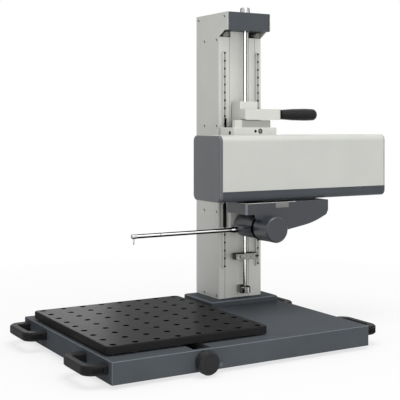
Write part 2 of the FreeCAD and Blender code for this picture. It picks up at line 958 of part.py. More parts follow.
def plate_screw_places(middle):
    reach_x = S["slide_flange"] / 2 - 2 * S["plate_screw_radius"]
    reach_y = S["plate_screw_pitch"] / 2
    places = []
    for side in (LEFT, RIGHT):
        for end in (FRONT, REAR):
            places.append((slot_x + side * reach_x, middle + end * reach_y))
    return places


def make_table_guides():
    start = slot_front - S["guide_seat"]
    length = slot_back - slot_front + 2 * S["guide_seat"]
    guides = []
    for label, side in (("left_table_guide", LEFT), ("right_table_guide", RIGHT)):
        place = (slot_x + side * S["guide_spacing"] / 2, guide_z)
        guides.append(shaft(label, "y", place, start, length, S["guide_radius"], in_group=True))
    together("table_guides", guides)
    bore = S["spindle_radius"] + S["running_gap"]
    profile = [
        (base_front, bore),
        (base_front, S["bush_radius"]),
        (slot_front, S["bush_radius"]),
        (slot_front, bore),
    ]
    turned("spindle_bush", "y", (slot_x, knob_z), profile)


def make_knob():
    centre = (slot_x, knob_z)
    lock_front = base_front - S["side_gap"] - S["lock_height"]
    back = lock_front - S["side_gap"]
    front = back - S["knob_length"]
    hole = S["spindle_radius"]
    depth = S["knob_length"] - S["knob_face"]
    disc = S["knob_disc_radius"]
    profile = [
        (front - S["knob_disc_height"], 0),
        (front - S["knob_disc_height"], disc - S["knob_disc_edge"]),
        (front - S["knob_disc_height"] + S["knob_disc_edge"], disc),
        (front, disc),
        (front, S["knob_front_radius"]),
        (front + S["knob_slope"] / 2, S["knob_radius"] - S["knob_edge"]),
        (front + S["knob_slope"], S["knob_radius"]),
        (back - S["knob_edge"], S["knob_radius"]),
        (back, S["knob_radius"] - S["knob_edge"]),
        (back, hole),
        (back - depth, hole),
        (back - depth, 0),
    ]
    turned("table_knob", "y", centre, profile)
    shaft("table_spindle", "y", centre, back - depth, S["spindle_length"], S["spindle_radius"])

    body = new_body("knob_lock_lever")
    ring = [
        (slot_x, knob_z, S["lock_radius"]),
        (slot_x, knob_z, S["spindle_radius"] + S["side_gap"]),
    ]
    slab(body, "XZ", lock_front, S["lock_height"], circles=ring)
    angle = math.radians(number(S["lock_lever_drop"]))
    along = (math.cos(angle), -math.sin(angle))
    across = (-along[1], along[0])
    half = S["lock_lever_radius"]
    ends = (S["lock_lever_root"], S["lock_lever_length"])
    corners = [
        (
            slot_x + reach * along[0] + side * half * across[0],
            knob_z + reach * along[1] + side * half * across[1],
        )
        for reach, side in ((ends[0], -1), (ends[1], -1), (ends[1], 1), (ends[0], 1))
    ]
    slab(body, "XZ", lock_front, S["lock_height"], [corners])


# Drive unit: housing, caps, tray and the traverse inside

def rounded_bar(label, start, length, bottom, top):
    """A bar along X with the drive unit's outline and its rounded corners."""
    body = new_body(label)
    outline = [(drive_front, bottom), (drive_back, bottom), (drive_back, top), (drive_front, top)]
    slab(body, "YZ", start, length, [outline])
    treat_edges(body, "Fillet", S["drive_corner"], lambda edge: runs_along(edge, "x"))
    return body


def make_drive_housing():
    length = inner_right - inner_left
    body = new_body("drive_housing")
    outline = [
        (drive_front, tray_top),
        (inner_front, tray_top),
        (inner_front, drive_top - S["drive_wall"]),
        (inner_back, drive_top - S["drive_wall"]),
        (inner_back, tray_top),
        (drive_back, tray_top),
        (drive_back, drive_top),
        (drive_front, drive_top),
    ]
    slab(body, "YZ", inner_left, length, [outline])
    outer_top = lambda edge: runs_along(edge, "x") and lies_at(edge, z=drive_top)
    treat_edges(body, "Fillet", S["drive_corner"], outer_top)
    inner_top = lambda edge: runs_along(edge, "x") and lies_at(edge, z=drive_top - S["drive_wall"])
    treat_edges(body, "Fillet", S["drive_corner"] - S["drive_wall"], inner_top)

    body = new_body("drive_tray")
    floor_top = drive_bottom + S["drive_wall"]
    outline = [
        (drive_front, drive_bottom),
        (drive_back, drive_bottom),
        (drive_back, tray_top),
        (inner_back, tray_top),
        (inner_back, floor_top),
        (inner_front, floor_top),
        (inner_front, tray_top),
        (drive_front, tray_top),
    ]
    slab(body, "YZ", inner_left, length, [outline])
    outer = lambda edge: runs_along(edge, "x") and lies_at(edge, z=drive_bottom)
    treat_edges(body, "Fillet", S["drive_corner"], outer)
    inner = lambda edge: runs_along(edge, "x") and lies_at(edge, z=floor_top)
    treat_edges(body, "Fillet", S["drive_corner"] - S["drive_wall"], inner)
    slot_left = slider_left - S["head_travel_left"] - S["motion_gap"]
    slot_length = (
        S["slider_length"] + S["head_travel_left"] + S["head_travel_right"] + 2 * S["motion_gap"]
    )
    slot = rectangle(slot_left, beam_y - S["drive_slot_width"] / 2, slot_length, S["drive_slot_width"])
    cut(body, "XY", drive_bottom, S["drive_wall"], [slot])

    left_cap = rounded_bar("drive_left_cap", drive_left, S["drive_left_cap"], drive_bottom, drive_top)
    treat_edges(left_cap, "Fillet", S["left_cap_edge"], lambda edge: lies_at(edge, x=drive_left))
    right_cap = rounded_bar(
        "drive_right_cap", drive_right - S["drive_right_cap"], S["drive_right_cap"], drive_bottom, drive_top
    )
    treat_edges(right_cap, "Fillet", S["right_cap_edge"], lambda edge: lies_at(edge, x=drive_right))


def make_traverse():
    beam_left = inner_left + S["beam_end_gap"]
    beam_length = inner_right - inner_left - 2 * S["beam_end_gap"]
    body = new_body("drive_beam")
    outline = rectangle(beam_left, beam_y - S["beam_width"] / 2, beam_length, S["beam_width"])
    slab(body, "XY", beam_bottom, S["beam_height"], [outline])

    body = new_body("x_guide_rail")
    half = S["x_rail_width"] / 2
    groove = half - S["rail_groove"]
    middle = x_rail_bottom + S["x_rail_height"] / 2
    quarter = S["x_rail_height"] / 4
    outline = [
        (beam_y - half, x_rail_bottom),
        (beam_y + half, x_rail_bottom),
        (beam_y + half, middle - quarter),
        (beam_y + groove, middle),
        (beam_y + half, middle + quarter),
        (beam_y + half, beam_bottom),
        (beam_y - half, beam_bottom),
        (beam_y - half, middle + quarter),
        (beam_y - groove, middle),
        (beam_y - half, middle - quarter),
    ]
    slab(body, "YZ", beam_left, beam_length, [outline])

    body = new_body("x_screw_bearing")
    side = S["motor_side"] / 2
    bearing_front = x_screw_y - S["x_screw_radius"] - S["bearing_wall"]
    outline = [
        (bearing_front, x_screw_z - side),
        (inner_back, x_screw_z - side),
        (inner_back, x_screw_z + side),
        (bearing_front, x_screw_z + side),
    ]
    slab(body, "YZ", beam_left, S["bearing_length"], [outline])
    screw_hole = (x_screw_y, x_screw_z, S["x_screw_radius"] + S["running_gap"])
    cut(body, "YZ", beam_left, S["bearing_length"], circles=[screw_hole])

    body = new_body("drive_motor")
    motor_left = beam_left + beam_length - S["motor_length"]
    outline = [
        (inner_back - S["motor_side"], x_screw_z - side),
        (inner_back, x_screw_z - side),
        (inner_back, x_screw_z + side),
        (inner_back - S["motor_side"], x_screw_z + side),
    ]
    slab(body, "YZ", motor_left, S["motor_length"], [outline])
    treat_edges(body, "Chamfer", S["motor_chamfer"], lambda edge: runs_along(edge, "x"))
    cut(body, "YZ", motor_left, S["bearing_length"], circles=[screw_hole])

    screw_length = motor_left + S["bearing_length"] - beam_left
    place = (x_screw_y, x_screw_z)
    shaft("x_lead_screw", "x", place, beam_left, screw_length, S["x_screw_radius"])

    body = new_body("x_scale")
    outline = rectangle(beam_left, scale_z, beam_length, S["scale_height"])
    slab(body, "XZ", inner_front, S["scale_thickness"], [outline])


# Carriage: plate on four rail blocks, bridge over the drive unit, clamp on the guide rod

def make_carriage():
    body = new_body("carriage_plate")
    tongue_bottom = drive_bottom - S["carriage_tongue_height"]
    upper = rectangle(column_left, drive_bottom, S["column_width"], S["drive_height"])
    tongue = rectangle(
        column_x - S["carriage_tongue"] / 2, tongue_bottom, S["carriage_tongue"], S["carriage_tongue_height"]
    )
    slab(body, "XZ", drive_back, S["carriage_plate"], [upper])
    slab(body, "XZ", drive_back, S["carriage_plate"], [tongue])
    groove_half = S["rod_radius"] + S["rod_clearance"]
    groove_front = rod_y - groove_half
    groove = rectangle(column_x - groove_half, groove_front, 2 * groove_half, carriage_back - groove_front)
    cut(body, "XY", tongue_bottom, drive_top - tongue_bottom, [groove])

    blocks = (
        ("lower_left_rail_block", LEFT, tongue_bottom),
        ("lower_right_rail_block", RIGHT, tongue_bottom),
        ("upper_left_rail_block", LEFT, drive_top - S["rail_block_length"] - S["motion_gap"]),
        ("upper_right_rail_block", RIGHT, drive_top - S["rail_block_length"] - S["motion_gap"]),
    )
    bodies = []
    for label, side, bottom in blocks:
        body = new_body(label, in_group=True)
        bodies.append(body)
        x = column_x + side * S["rail_spacing"] / 2
        half = S["rail_block_width"] / 2
        slot_half = S["rail_width"] / 2 + S["seat_gap"]
        back = column_front - S["rail_block_lift"]
        slot_front_y = rail_front - S["seat_gap"]
        outline = [
            (x - half, carriage_back),
            (x + half, carriage_back),
            (x + half, back),
            (x + slot_half, back),
            (x + slot_half, slot_front_y),
            (x - slot_half, slot_front_y),
            (x - slot_half, back),
            (x - half, back),
        ]
        slab(body, "XY", bottom, S["rail_block_length"], [outline])
        ends = lambda edge: runs_along(edge, "z") and lies_at(edge, y=carriage_back)
        treat_edges(body, "Chamfer", S["rail_block_edge"], ends)
    together("rail_blocks", bodies)


def make_bridge():
    bore = (column_x, rod_y, S["rod_radius"] + S["running_gap"])
    bridge_back = rail_front - S["bridge_back_gap"]
    body = new_body("bridge_plate")
    riser_bottom = drive_top + S["bridge_height"]
    outline = rectangle(column_left, bridge_front, S["column_width"], bridge_back - bridge_front)
    slab(body, "XY", drive_top, S["bridge_height"], [outline])
    treat_edges(body, "Chamfer", S["bridge_edge"], lambda edge: lies_at(edge, z=riser_bottom))
    cut(body, "XY", drive_top, S["bridge_height"], circles=[bore])

    clamp_bottom = riser_bottom + S["riser_height"]
    body = new_body("riser_block")
    bar_half = S["riser_length"] / 2
    bar_back = riser_front + S["riser_bar"]
    stem_half = S["clamp_length"] / 2
    outline = [
        (column_x - bar_half, riser_front),
        (column_x + bar_half, riser_front),
        (column_x + bar_half, bar_back),
        (column_x + stem_half, bar_back),
        (column_x + stem_half, bridge_back),
        (column_x - stem_half, bridge_back),
        (column_x - stem_half, bar_back),
        (column_x - bar_half, bar_back),
    ]
    slab(body, "XY", riser_bottom, S["riser_height"], [outline])
    treat_edges(body, "Chamfer", S["bridge_edge"], lambda edge: lies_at(edge, z=clamp_bottom))
    cut(body, "XY", riser_bottom, S["riser_height"], circles=[bore])

    body = new_body("rod_clamp")
    outline = rectangle(
        column_x - S["clamp_length"] / 2, clamp_front, S["clamp_length"], S["clamp_width"]
    )
    slab(body, "XY", clamp_bottom, S["clamp_height"], [outline])
    clamp_top = clamp_bottom + S["clamp_height"]
    treat_edges(body, "Chamfer", S["bridge_edge"], lambda edge: lies_at(edge, z=clamp_top))
    cut(body, "XY", clamp_bottom, S["clamp_height"], circles=[bore])
    slit = rectangle(
        column_x, rod_y - S["clamp_slit"] / 2, S["clamp_length"] / 2, S["clamp_slit"]
    )
    cut(body, "XY", clamp_bottom, S["clamp_height"], [slit])
    pin_x, pin_z = lever_pin_place()
    pin = (pin_x, pin_z, S["lever_pin_radius"])
    cut(body, "XZ", clamp_front, lever_pin_end - clamp_front, circles=[pin])


# Clamp lever: flat bar, pin and moulded grip

def lever_bottom():
    return drive_top + S["bridge_height"] + S["riser_height"] + S["lever_lift"]


def lever_pin_place():
    return lever_left + S["lever_pin_inset"], lever_bottom() + S["lever_pin_level"]


def make_lever():
    back = clamp_front - S["side_gap"]
    front = back - S["lever_width"]
    pin_x, pin_z = lever_pin_place()
    middle = back - S["lever_width"] / 2
    body = new_body("clamp_lever")
    outline = rectangle(lever_left, lever_bottom(), S["lever_length"], S["lever_height"])
    slab(body, "XZ", front, S["lever_width"], [outline])
    right = lever_left + S["lever_length"]
    treat_edges(
        body,
        "Fillet",
        S["lever_end_radius"],
        lambda edge: runs_along(edge, "z") and lies_at(edge, x=right),
    )
    heel = lambda edge: runs_along(edge, "y") and lies_at(edge, x=lever_left, z=lever_bottom())
    treat_edges(body, "Fillet", S["lever_heel_radius"], heel)
    pin_hole = (pin_x, pin_z, S["lever_pin_radius"] + S["running_gap"])
    wall = S["lever_front_wall"]
    cut(body, "XZ", front + wall, S["lever_width"] - wall, circles=[pin_hole])
    neck_start = right - S["grip_neck_seat"]
    grip_z = lever_bottom() + S["lever_height"] / 2
    neck_hole = (middle, grip_z, S["grip_neck_radius"])
    cut(body, "YZ", neck_start, S["grip_neck_seat"], circles=[neck_hole])

    grip_start = right + S["grip_neck"]
    grip_end = grip_start + S["grip_length"]
    swell = grip_start + S["grip_swell"]
    profile = [
        (neck_start, 0),
        (neck_start, S["grip_neck_radius"]),
        (grip_start, S["grip_neck_radius"]),
        (grip_start, S["grip_root_radius"] - S["grip_root_edge"]),
        (grip_start + S["grip_root_edge"], S["grip_root_radius"]),
        (grip_start + S["grip_swell"] / 2, (S["grip_root_radius"] + S["grip_radius"]) / 2 + S["grip_belly"]),
        (swell, S["grip_radius"]),
    ] + rounded_end(grip_end, S["grip_radius"] - S["grip_end_drop"], S["grip_end_radius"], RIGHT)
    turned("lever_grip", "x", (middle, grip_z), profile)

    pin_start = front + wall + S["side_gap"]
    shaft("lever_pin", "y", (pin_x, pin_z), pin_start, lever_pin_end - pin_start, S["lever_pin_radius"])


# Probe head: housing with its keel, front drum, slide block and what it carries

def make_head_housing():
    body = new_body("head_housing")
    upper = rectangle(head_left, head_bottom, S["head_length"], S["head_height"])
    slab(body, "XZ", head_front, S["head_depth"], [upper])
    corner = lambda edge: runs_along(edge, "z") and lies_at(edge, x=head_left, y=head_front)
    treat_edges(body, "Chamfer", S["head_chamfer"], corner)
    keel_top = head_bottom + S["keel_overlap"]
    keel = [
        (drum_x - S["keel_left"], head_bottom),
        (drum_x - S["keel_flank"], drum_z + S["keel_flank_height"]),
        (drum_x + S["keel_wrap"], drum_z - S["keel_wrap_drop"]),
        (drum_x + S["keel_root"], head_top - S["keel_root_height"]),
        (head_right - S["keel_bend_inset"], head_top - S["keel_bend_height"]),
        (head_right - S["keel_nose_inset"], head_top - S["keel_nose_height"]),
        (head_right, head_top - S["keel_tip_height"]),
        (head_right, keel_top),
        (drum_x - S["keel_left"], keel_top),
    ]
    slab(body, "XZ", head_front, S["keel_depth"], [keel])
    bend = lambda edge: runs_along(edge, "y") and lies_at(
        edge, x=head_right - S["keel_bend_inset"], z=head_top - S["keel_bend_height"]
    )
    treat_edges(body, "Fillet", S["keel_bend_radius"], bend)
    nose = lambda edge: runs_along(edge, "y") and lies_at(
        edge, x=head_right - S["keel_nose_inset"], z=head_top - S["keel_nose_height"]
    )
    treat_edges(body, "Fillet", S["keel_nose_radius"], nose)
    bore = (drum_x, drum_z, S["drum_radius"])
    cut(body, "XZ", head_front, S["keel_depth"], circles=[bore])


def make_drum():
    centre = (drum_x, drum_z)
    radius = S["drum_radius"]
    bore = S["pivot_radius"] + S["side_gap"]
    cap_back = drum_front + S["drum_cap"]
    seat = S["bearing_radius"]
    width = S["bearing_width"]
    first_seat = cap_back + S["bearing_inset"]
    profile = [
        (cap_back, bore),
        (cap_back, radius),
        (drum_back, radius),
        (drum_back, seat),
        (drum_back - width, seat),
        (drum_back - width, bore),
        (first_seat + width, bore),
        (first_seat + width, seat),
        (first_seat, seat),
        (first_seat, bore),
    ]
    turned("pivot_drum", "y", centre, profile)
    profile = [
        (drum_front, 0),
        (drum_front, radius - S["drum_bevel"]),
        (drum_front + S["drum_bevel"], radius),
        (cap_back, radius),
        (cap_back, 0),
    ]
    turned("drum_cap", "y", centre, profile)
    inner = S["pivot_radius"] + S["running_gap"]
    bearings = []
    for label, start in (("front_pivot_bearing", first_seat), ("rear_pivot_bearing", drum_back - width)):
        ring = [(start, inner), (start, seat), (start + width, seat), (start + width, inner)]
        bearings.append(turned(label, "y", centre, ring, in_group=True))
    together("pivot_bearings", bearings)


def make_slider():
    body = new_body("head_slide_block")
    half = S["slider_width"] / 2
    rail_half = S["x_rail_width"] / 2 + S["seat_gap"]
    rail_low = x_rail_bottom - S["seat_gap"]
    outline = [
        (beam_y - half, slider_bottom),
        (beam_y + half, slider_bottom),
        (beam_y + half, slider_top),
        (beam_y + rail_half, slider_top),
        (beam_y + rail_half, rail_low),
        (beam_y - rail_half, rail_low),
        (beam_y - rail_half, slider_top),
        (beam_y - half, slider_top),
    ]
    slab(body, "YZ", slider_left, S["slider_length"], [outline])
    neck = rectangle(slider_left, beam_y - S["neck_width"] / 2, S["slider_length"], S["neck_width"])
    slab(body, "XY", head_top, slider_bottom - head_top, [neck])

    body = new_body("screw_nut")
    nut_left = slider_left + (S["slider_length"] - S["nut_block_length"]) / 2
    low = x_screw_z - S["nut_block_height"] / 2
    nut_back = inner_back - S["motion_gap"] / 2
    outline = [
        (beam_y + half, low),
        (nut_back, low),
        (nut_back, low + S["nut_block_height"]),
        (beam_y + half, low + S["nut_block_height"]),
    ]
    slab(body, "YZ", nut_left, S["nut_block_length"], [outline])
    bore = (x_screw_y, x_screw_z, S["x_screw_radius"] + S["running_gap"])
    cut(body, "YZ", nut_left, S["nut_block_length"], circles=[bore])

    body = new_body("scale_reader")
    low = scale_z + (S["scale_height"] - S["reader_height"]) / 2
    reader_front = inner_front + S["scale_thickness"] + S["reader_gap"]
    outline = [
        (reader_front, low),
        (beam_y - half, low),
        (beam_y - half, low + S["reader_height"]),
        (reader_front, low + S["reader_height"]),
    ]
    reader_left = slider_left + (S["slider_length"] - S["reader_length"]) / 2
    slab(body, "YZ", reader_left, S["reader_length"], [outline])


# Measuring arm: pivot shaft, rear drum with its nose, tube and stylus

def make_arm():
    centre = (drum_x, drum_z)
    shaft_start = drum_front + S["drum_cap"] + S["bearing_inset"]
    shaft("pivot_shaft", "y", centre, shaft_start, S["pivot_length"], S["pivot_radius"])
    back = rear_drum_front + S["drum_rear_length"]
    outer = S["drum_rear_radius"]
    shaft_end = shaft_start + S["pivot_length"]
    profile = [
        (drum_back + S["side_gap"], S["pivot_radius"]),
        (drum_back + S["side_gap"], S["drum_rear_neck"]),
        (rear_drum_front, S["drum_rear_neck"]),
        (rear_drum_front, outer),
        (back - S["drum_rear_edge"], outer),
        (back, outer - S["drum_rear_edge"]),
        (back, 0),
        (shaft_end, 0),
        (shaft_end, S["pivot_radius"]),
    ]
    turned("rear_drum", "y", centre, profile)

    body = new_body("arm_nose")
    nose_right = drum_x
    nose_left = arm_right + S["arm_coupling_length"]
    bottom = arm_z - S["nose_height"] / 2
    outline = [
        (nose_left, bottom + S["nose_chamfer"]),
        (nose_left + S["nose_chamfer"], bottom),
        (nose_right, bottom),
        (nose_right, bottom + S["nose_height"]),
        (nose_left + S["nose_chamfer"], bottom + S["nose_height"]),
        (nose_left, bottom + S["nose_height"] - S["nose_chamfer"]),
    ]
    slab(body, "XZ", arm_y - S["nose_width"] / 2, S["nose_width"], [outline])
    drum_space = (drum_x, drum_z, outer)
    cut(body, "XZ", arm_y - S["nose_width"] / 2, S["nose_width"], circles=[drum_space])
    seat = (arm_y, arm_z, S["arm_coupling_radius"] / 2)
    cut(body, "YZ", nose_left, S["arm_coupling_length"] / 2, circles=[seat])

    place = (arm_y, arm_z)
    collar_end = arm_right + S["arm_collar_length"]
    taper_start = arm_right - S["arm_collar_taper"]
    plug_end = nose_left + S["arm_coupling_length"] / 2
    profile = [
        (arm_right, S["arm_radius"]),
        (taper_start, S["arm_radius"]),
        (taper_start, S["arm_radius"] + S["arm_collar_rim"]),
        (arm_right, S["arm_collar_radius"] - S["arm_collar_edge"]),
        (arm_right + S["arm_collar_edge"], S["arm_collar_radius"]),
        (collar_end, S["arm_collar_radius"]),
        (collar_end, S["arm_coupling_radius"]),
        (nose_left, S["arm_coupling_radius"]),
        (nose_left, S["arm_coupling_radius"] / 2),
        (plug_end, S["arm_coupling_radius"] / 2),
        (plug_end, 0),
        (arm_right, 0),
    ]
    turned("arm_coupling", "x", place, profile)
    inner = S["arm_radius"] - S["arm_wall"]
    profile = [
        (arm_left, inner),
        (arm_left, S["arm_radius"]),
        (arm_right, S["arm_radius"]),
        (arm_right, inner),
    ]
    turned("arm_tube", "x", place, profile)
    tip = arm_left - S["tip_length"]
    profile = rounded_end(tip, S["tip_radius"], S["tip_round"], LEFT)[::-1] + [
        (arm_left, S["tip_radius"]),
        (arm_left, inner),
        (arm_left + S["tip_seat"], inner),
        (arm_left + S["tip_seat"], 0),
    ]
    holder = turned("arm_tip_holder", "x", place, profile)
    stylus_x = tip + S["tip_length"] / 2
    hole = (stylus_x, arm_y, S["stylus_radius"])
    stylus_top = arm_z + S["stylus_seat"]
    cut(holder, "XY", arm_z - S["tip_radius"], stylus_top - arm_z + S["tip_radius"], circles=[hole])
    point = stylus_top - S["stylus_length"]
    profile = [
        (stylus_top, 0),
        (stylus_top, S["stylus_radius"]),
        (point + S["stylus_point"], S["stylus_radius"]),
        (point + S["stylus_end_radius"], S["stylus_end_radius"]),
        (point, 0),
    ]
    turned("stylus", "z", (stylus_x, arm_y), profile)


for make in (
    make_base,
    make_feet,
    make_plinth,
    make_core,
    make_covers,
    make_cap,
    make_rails,
    make_rod,
    make_stop,
    make_handles,
    make_table,
    make_table_guides,
    make_knob,
    make_drive_housing,
    make_traverse,
    make_carriage,
    make_bridge,
    make_lever,
    make_head_housing,
    make_drum,
    make_slider,
    make_arm,
):
    make()

doc.recompute()
for obj in doc.Objects:
    if "Invalid" in obj.State or "Error" in obj.State:
        raise RuntimeError(f"{obj.Label}: {obj.State}")
for piece in pieces:
    if piece.Shape.isNull() or not piece.Shape.isValid() or not piece.Shape.Solids:
        raise RuntimeError(f"{piece.Label}: its shape is not a valid solid")

os.makedirs("parts", exist_ok=True)
for piece in pieces:
    piece.Shape.exportStep(f"parts/{piece.Label}.step")
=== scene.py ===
import json
import math

import bmesh
import bpy
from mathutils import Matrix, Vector


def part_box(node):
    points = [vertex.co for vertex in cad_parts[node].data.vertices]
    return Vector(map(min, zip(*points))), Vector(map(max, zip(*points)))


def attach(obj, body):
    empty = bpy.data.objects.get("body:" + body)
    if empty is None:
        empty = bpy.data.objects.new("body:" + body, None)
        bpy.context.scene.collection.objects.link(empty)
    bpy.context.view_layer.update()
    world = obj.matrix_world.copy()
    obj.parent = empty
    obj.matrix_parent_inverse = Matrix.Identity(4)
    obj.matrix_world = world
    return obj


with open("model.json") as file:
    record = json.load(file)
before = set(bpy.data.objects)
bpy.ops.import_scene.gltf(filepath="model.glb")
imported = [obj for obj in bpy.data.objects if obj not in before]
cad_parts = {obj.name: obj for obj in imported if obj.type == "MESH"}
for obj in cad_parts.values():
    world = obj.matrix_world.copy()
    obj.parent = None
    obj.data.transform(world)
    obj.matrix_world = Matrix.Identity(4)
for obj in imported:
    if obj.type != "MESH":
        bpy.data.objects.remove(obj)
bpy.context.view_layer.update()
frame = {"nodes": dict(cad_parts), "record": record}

# Contour measuring machine: finishes for every piece, and the small fasteners, threads and plates
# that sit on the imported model. Everything is in metres, in the part's own frame.

MM = 0.001
RIGHT = Vector((1, 0, 0))
BACK = Vector((0, 1, 0))
UP = Vector((0, 0, 1))
LEFT = -RIGHT
FRONT = -BACK


# Building materials

# The range that holds nearly all values of a noise texture
NOISE_LOW = 0.3
NOISE_HIGH = 0.7
MOTTLE_DETAIL = 4.0
GRAIN_DETAIL = 2.0
GRAIN_STRENGTH = 0.6
# How far the grain moves the roughness, as a share of it
GLOSS_SPREAD = 0.15
BEVEL_SAMPLES = 4
# The cosine between the rounded and the true normal where an edge starts, and where it is full
EDGE_START = 0.995
EDGE_FULL = 0.9
# The largest part of the rounded normal where an edge of a boxy piece starts, and where it is full
BOXY_EDGE_START = 0.98
BOXY_EDGE_FULL = 0.86


def screen(red, green, blue):
    """A colour given as screen levels from 0 to 255, as the linear values that shaders take."""
    levels = [level / 255 for level in (red, green, blue)]
    linear = [c / 12.92 if c <= 0.04045 else ((c + 0.055) / 1.055) ** 2.4 for c in levels]
    return (*linear, 1.0)


def scaled(colour, share):
    """The colour made darker or lighter, kept within white."""
    return (*[min(1.0, channel * share) for channel in colour[:3]], 1.0)


def new_material(name):
    """A material with its node tree and its main shader."""
    material = bpy.data.materials.new(name)
    material.use_nodes = True
    tree = material.node_tree
    return material, tree, tree.nodes["Principled BSDF"]


def feed(tree, socket, value):
    """Give a socket its value, which is a number, a colour or another node's output."""
    if isinstance(value, bpy.types.NodeSocket):
        tree.links.new(value, socket)
    else:
        socket.default_value = value


def node(tree, kind, sockets=(), **settings):
    """A shader node with its settings and what its sockets are fed."""
    made = tree.nodes.new("ShaderNode" + kind)
    for name, value in settings.items():
        setattr(made, name, value)
    for name, value in dict(sockets).items():
        feed(tree, made.inputs[name], value)
    return made


def blended(tree, share, first, second):
    """The colour between two colours at the given share.

    The node's sockets are taken by number, because their names repeat.
    """
    mix = node(tree, "Mix", {0: share}, data_type="RGBA")
    feed(tree, mix.inputs[6], first)
    feed(tree, mix.inputs[7], second)
    return mix.outputs[2]


def ramped(tree, value, low, high, to_low, to_high):
    """The value, mapped from one range to another and kept inside it."""
    sockets = {"Value": value, "From Min": low, "From Max": high, "To Min": to_low, "To Max": to_high}
    return node(tree, "MapRange", sockets).outputs["Result"]


def greater(tree, first, second):
    """The greater of two values."""
    return node(tree, "Math", {0: first, 1: second}, operation="MAXIMUM").outputs["Value"]


def noise(tree, place, scale, detail):
    """Smooth noise over a place, about 0.5."""
    sockets = {"Vector": place, "Scale": scale, "Detail": detail}
    return node(tree, "TexNoise", sockets).outputs["Fac"]


def edge_share(tree, rounded, flat, boxy):
    """How much a point belongs to an edge, from 0 to 1, told from its rounded and its true normal."""
    if not boxy:
        alike = node(tree, "VectorMath", {0: rounded, 1: flat}, operation="DOT_PRODUCT").outputs["Value"]
        return ramped(tree, alike, EDGE_START, EDGE_FULL, 0.0, 1.0)
    sizes = node(tree, "VectorMath", {0: rounded}, operation="ABSOLUTE").outputs["Vector"]
    part = node(tree, "SeparateXYZ", {"Vector": sizes}).outputs
    largest = greater(tree, greater(tree, part["X"], part["Y"]), part["Z"])
    return ramped(tree, largest, BOXY_EDGE_START, BOXY_EDGE_FULL, 0.0, 1.0)


def darkened(tree, body_colour, colour, value, limits):
    """The body colour, giving way to a share of the colour between two levels of a value."""
    share, start, full = limits
    return blended(tree, ramped(tree, value, start, full, 0.0, 1.0), body_colour, scaled(colour, share))


def surface(
    name,
    colour,
    roughness,
    metallic=0.0,
    specular=0.5,
    mottle=0.05,
    mottle_scale=14,
    grain_scale=900,
    grain_depth=0.02 * MM,
    stretch=(1, 1, 1),
    edge_radius=0.5 * MM,
    edge_light=1.5,
    boxy=False,
    rim=None,
    under=None,
    other=None,
):
    """A finish with slow colour variation, fine grain in the bump, and edges painted lighter as a painted
    highlight.

    On boxy pieces every face that is off the axes counts as an edge, and an edge light below 1 paints
    the edges darker, as painted shade. The rim darkens what turns away from the eye, a painted reflection
    of a dark studio in bright metal, and under darkens what faces down, a painted reflection of a dark
    base:
    each gives the share of the colour that stays, and the levels at which it starts and is full.
    The other colour holds beyond a level along an axis of the part.
    """
    material, tree, shader = new_material(name)
    shader.inputs["Metallic"].default_value = metallic
    shader.inputs["Specular IOR Level"].default_value = specular

    place = node(tree, "TexCoord").outputs["Object"]
    grained = node(tree, "Mapping", {"Vector": place, "Scale": stretch}).outputs["Vector"]
    slow = noise(tree, place, mottle_scale, MOTTLE_DETAIL)
    fine = noise(tree, grained, grain_scale, GRAIN_DETAIL)
    rounded = node(tree, "Bevel", {"Radius": edge_radius}, samples=BEVEL_SAMPLES).outputs["Normal"]
    flat = node(tree, "NewGeometry").outputs["Normal"]

    slow_share = ramped(tree, slow, NOISE_LOW, NOISE_HIGH, 0.0, 1.0)
    final = blended(tree, slow_share, scaled(colour, 1 - mottle), scaled(colour, 1 + mottle))
    # Painted highlight on edges, and painted shade where the edge light is below 1
    final = blended(tree, edge_share(tree, rounded, flat, boxy), final, scaled(colour, edge_light))
    # Painted reflection: metal darker where it turns from the eye
    if rim:
        facing = node(tree, "LayerWeight").outputs["Facing"]
        final = darkened(tree, final, colour, facing, rim)
        shader.inputs["Specular Tint"].default_value = scaled((1, 1, 1), rim[0])
    # Painted reflection: darker where the surface faces down, as over a dark base
    if under:
        height = node(tree, "SeparateXYZ", {"Vector": flat}).outputs["Z"]
        final = darkened(tree, final, colour, height, under)
    if other:
        axis, level, beyond = other
        along = node(tree, "SeparateXYZ", {"Vector": place}).outputs[axis]
        passed = node(tree, "Math", {0: along, 1: level}, operation="GREATER_THAN").outputs["Value"]
        final = blended(tree, passed, final, beyond)
    tree.links.new(final, shader.inputs["Base Color"])

    smoothest = roughness * (1 - GLOSS_SPREAD)
    roughest = min(1.0, roughness * (1 + GLOSS_SPREAD))
    gloss = ramped(tree, fine, NOISE_LOW, NOISE_HIGH, smoothest, roughest)
    tree.links.new(gloss, shader.inputs["Roughness"])
    sockets = {"Height": fine, "Distance": grain_depth, "Strength": GRAIN_STRENGTH, "Normal": rounded}
    tree.links.new(node(tree, "Bump", sockets).outputs["Normal"], shader.inputs["Normal"])
    return material


def ruled_glass():
    """The glass of the scale, ruled with fine lines of tint."""
    material, tree, shader = new_material("scale_glass")
    shader.inputs["Transmission Weight"].default_value = 0.9
    shader.inputs["IOR"].default_value = 1.5
    shader.inputs["Roughness"].default_value = 0.05
    place = node(tree, "TexCoord").outputs["Object"]
    lines = node(tree, "TexWave", {"Vector": place, "Scale": 400.0}).outputs["Fac"]
    colour = blended(tree, lines, screen(190, 205, 205), screen(150, 165, 168))
    tree.links.new(colour, shader.inputs["Base Color"])
    return material


# Finishes of the material slots

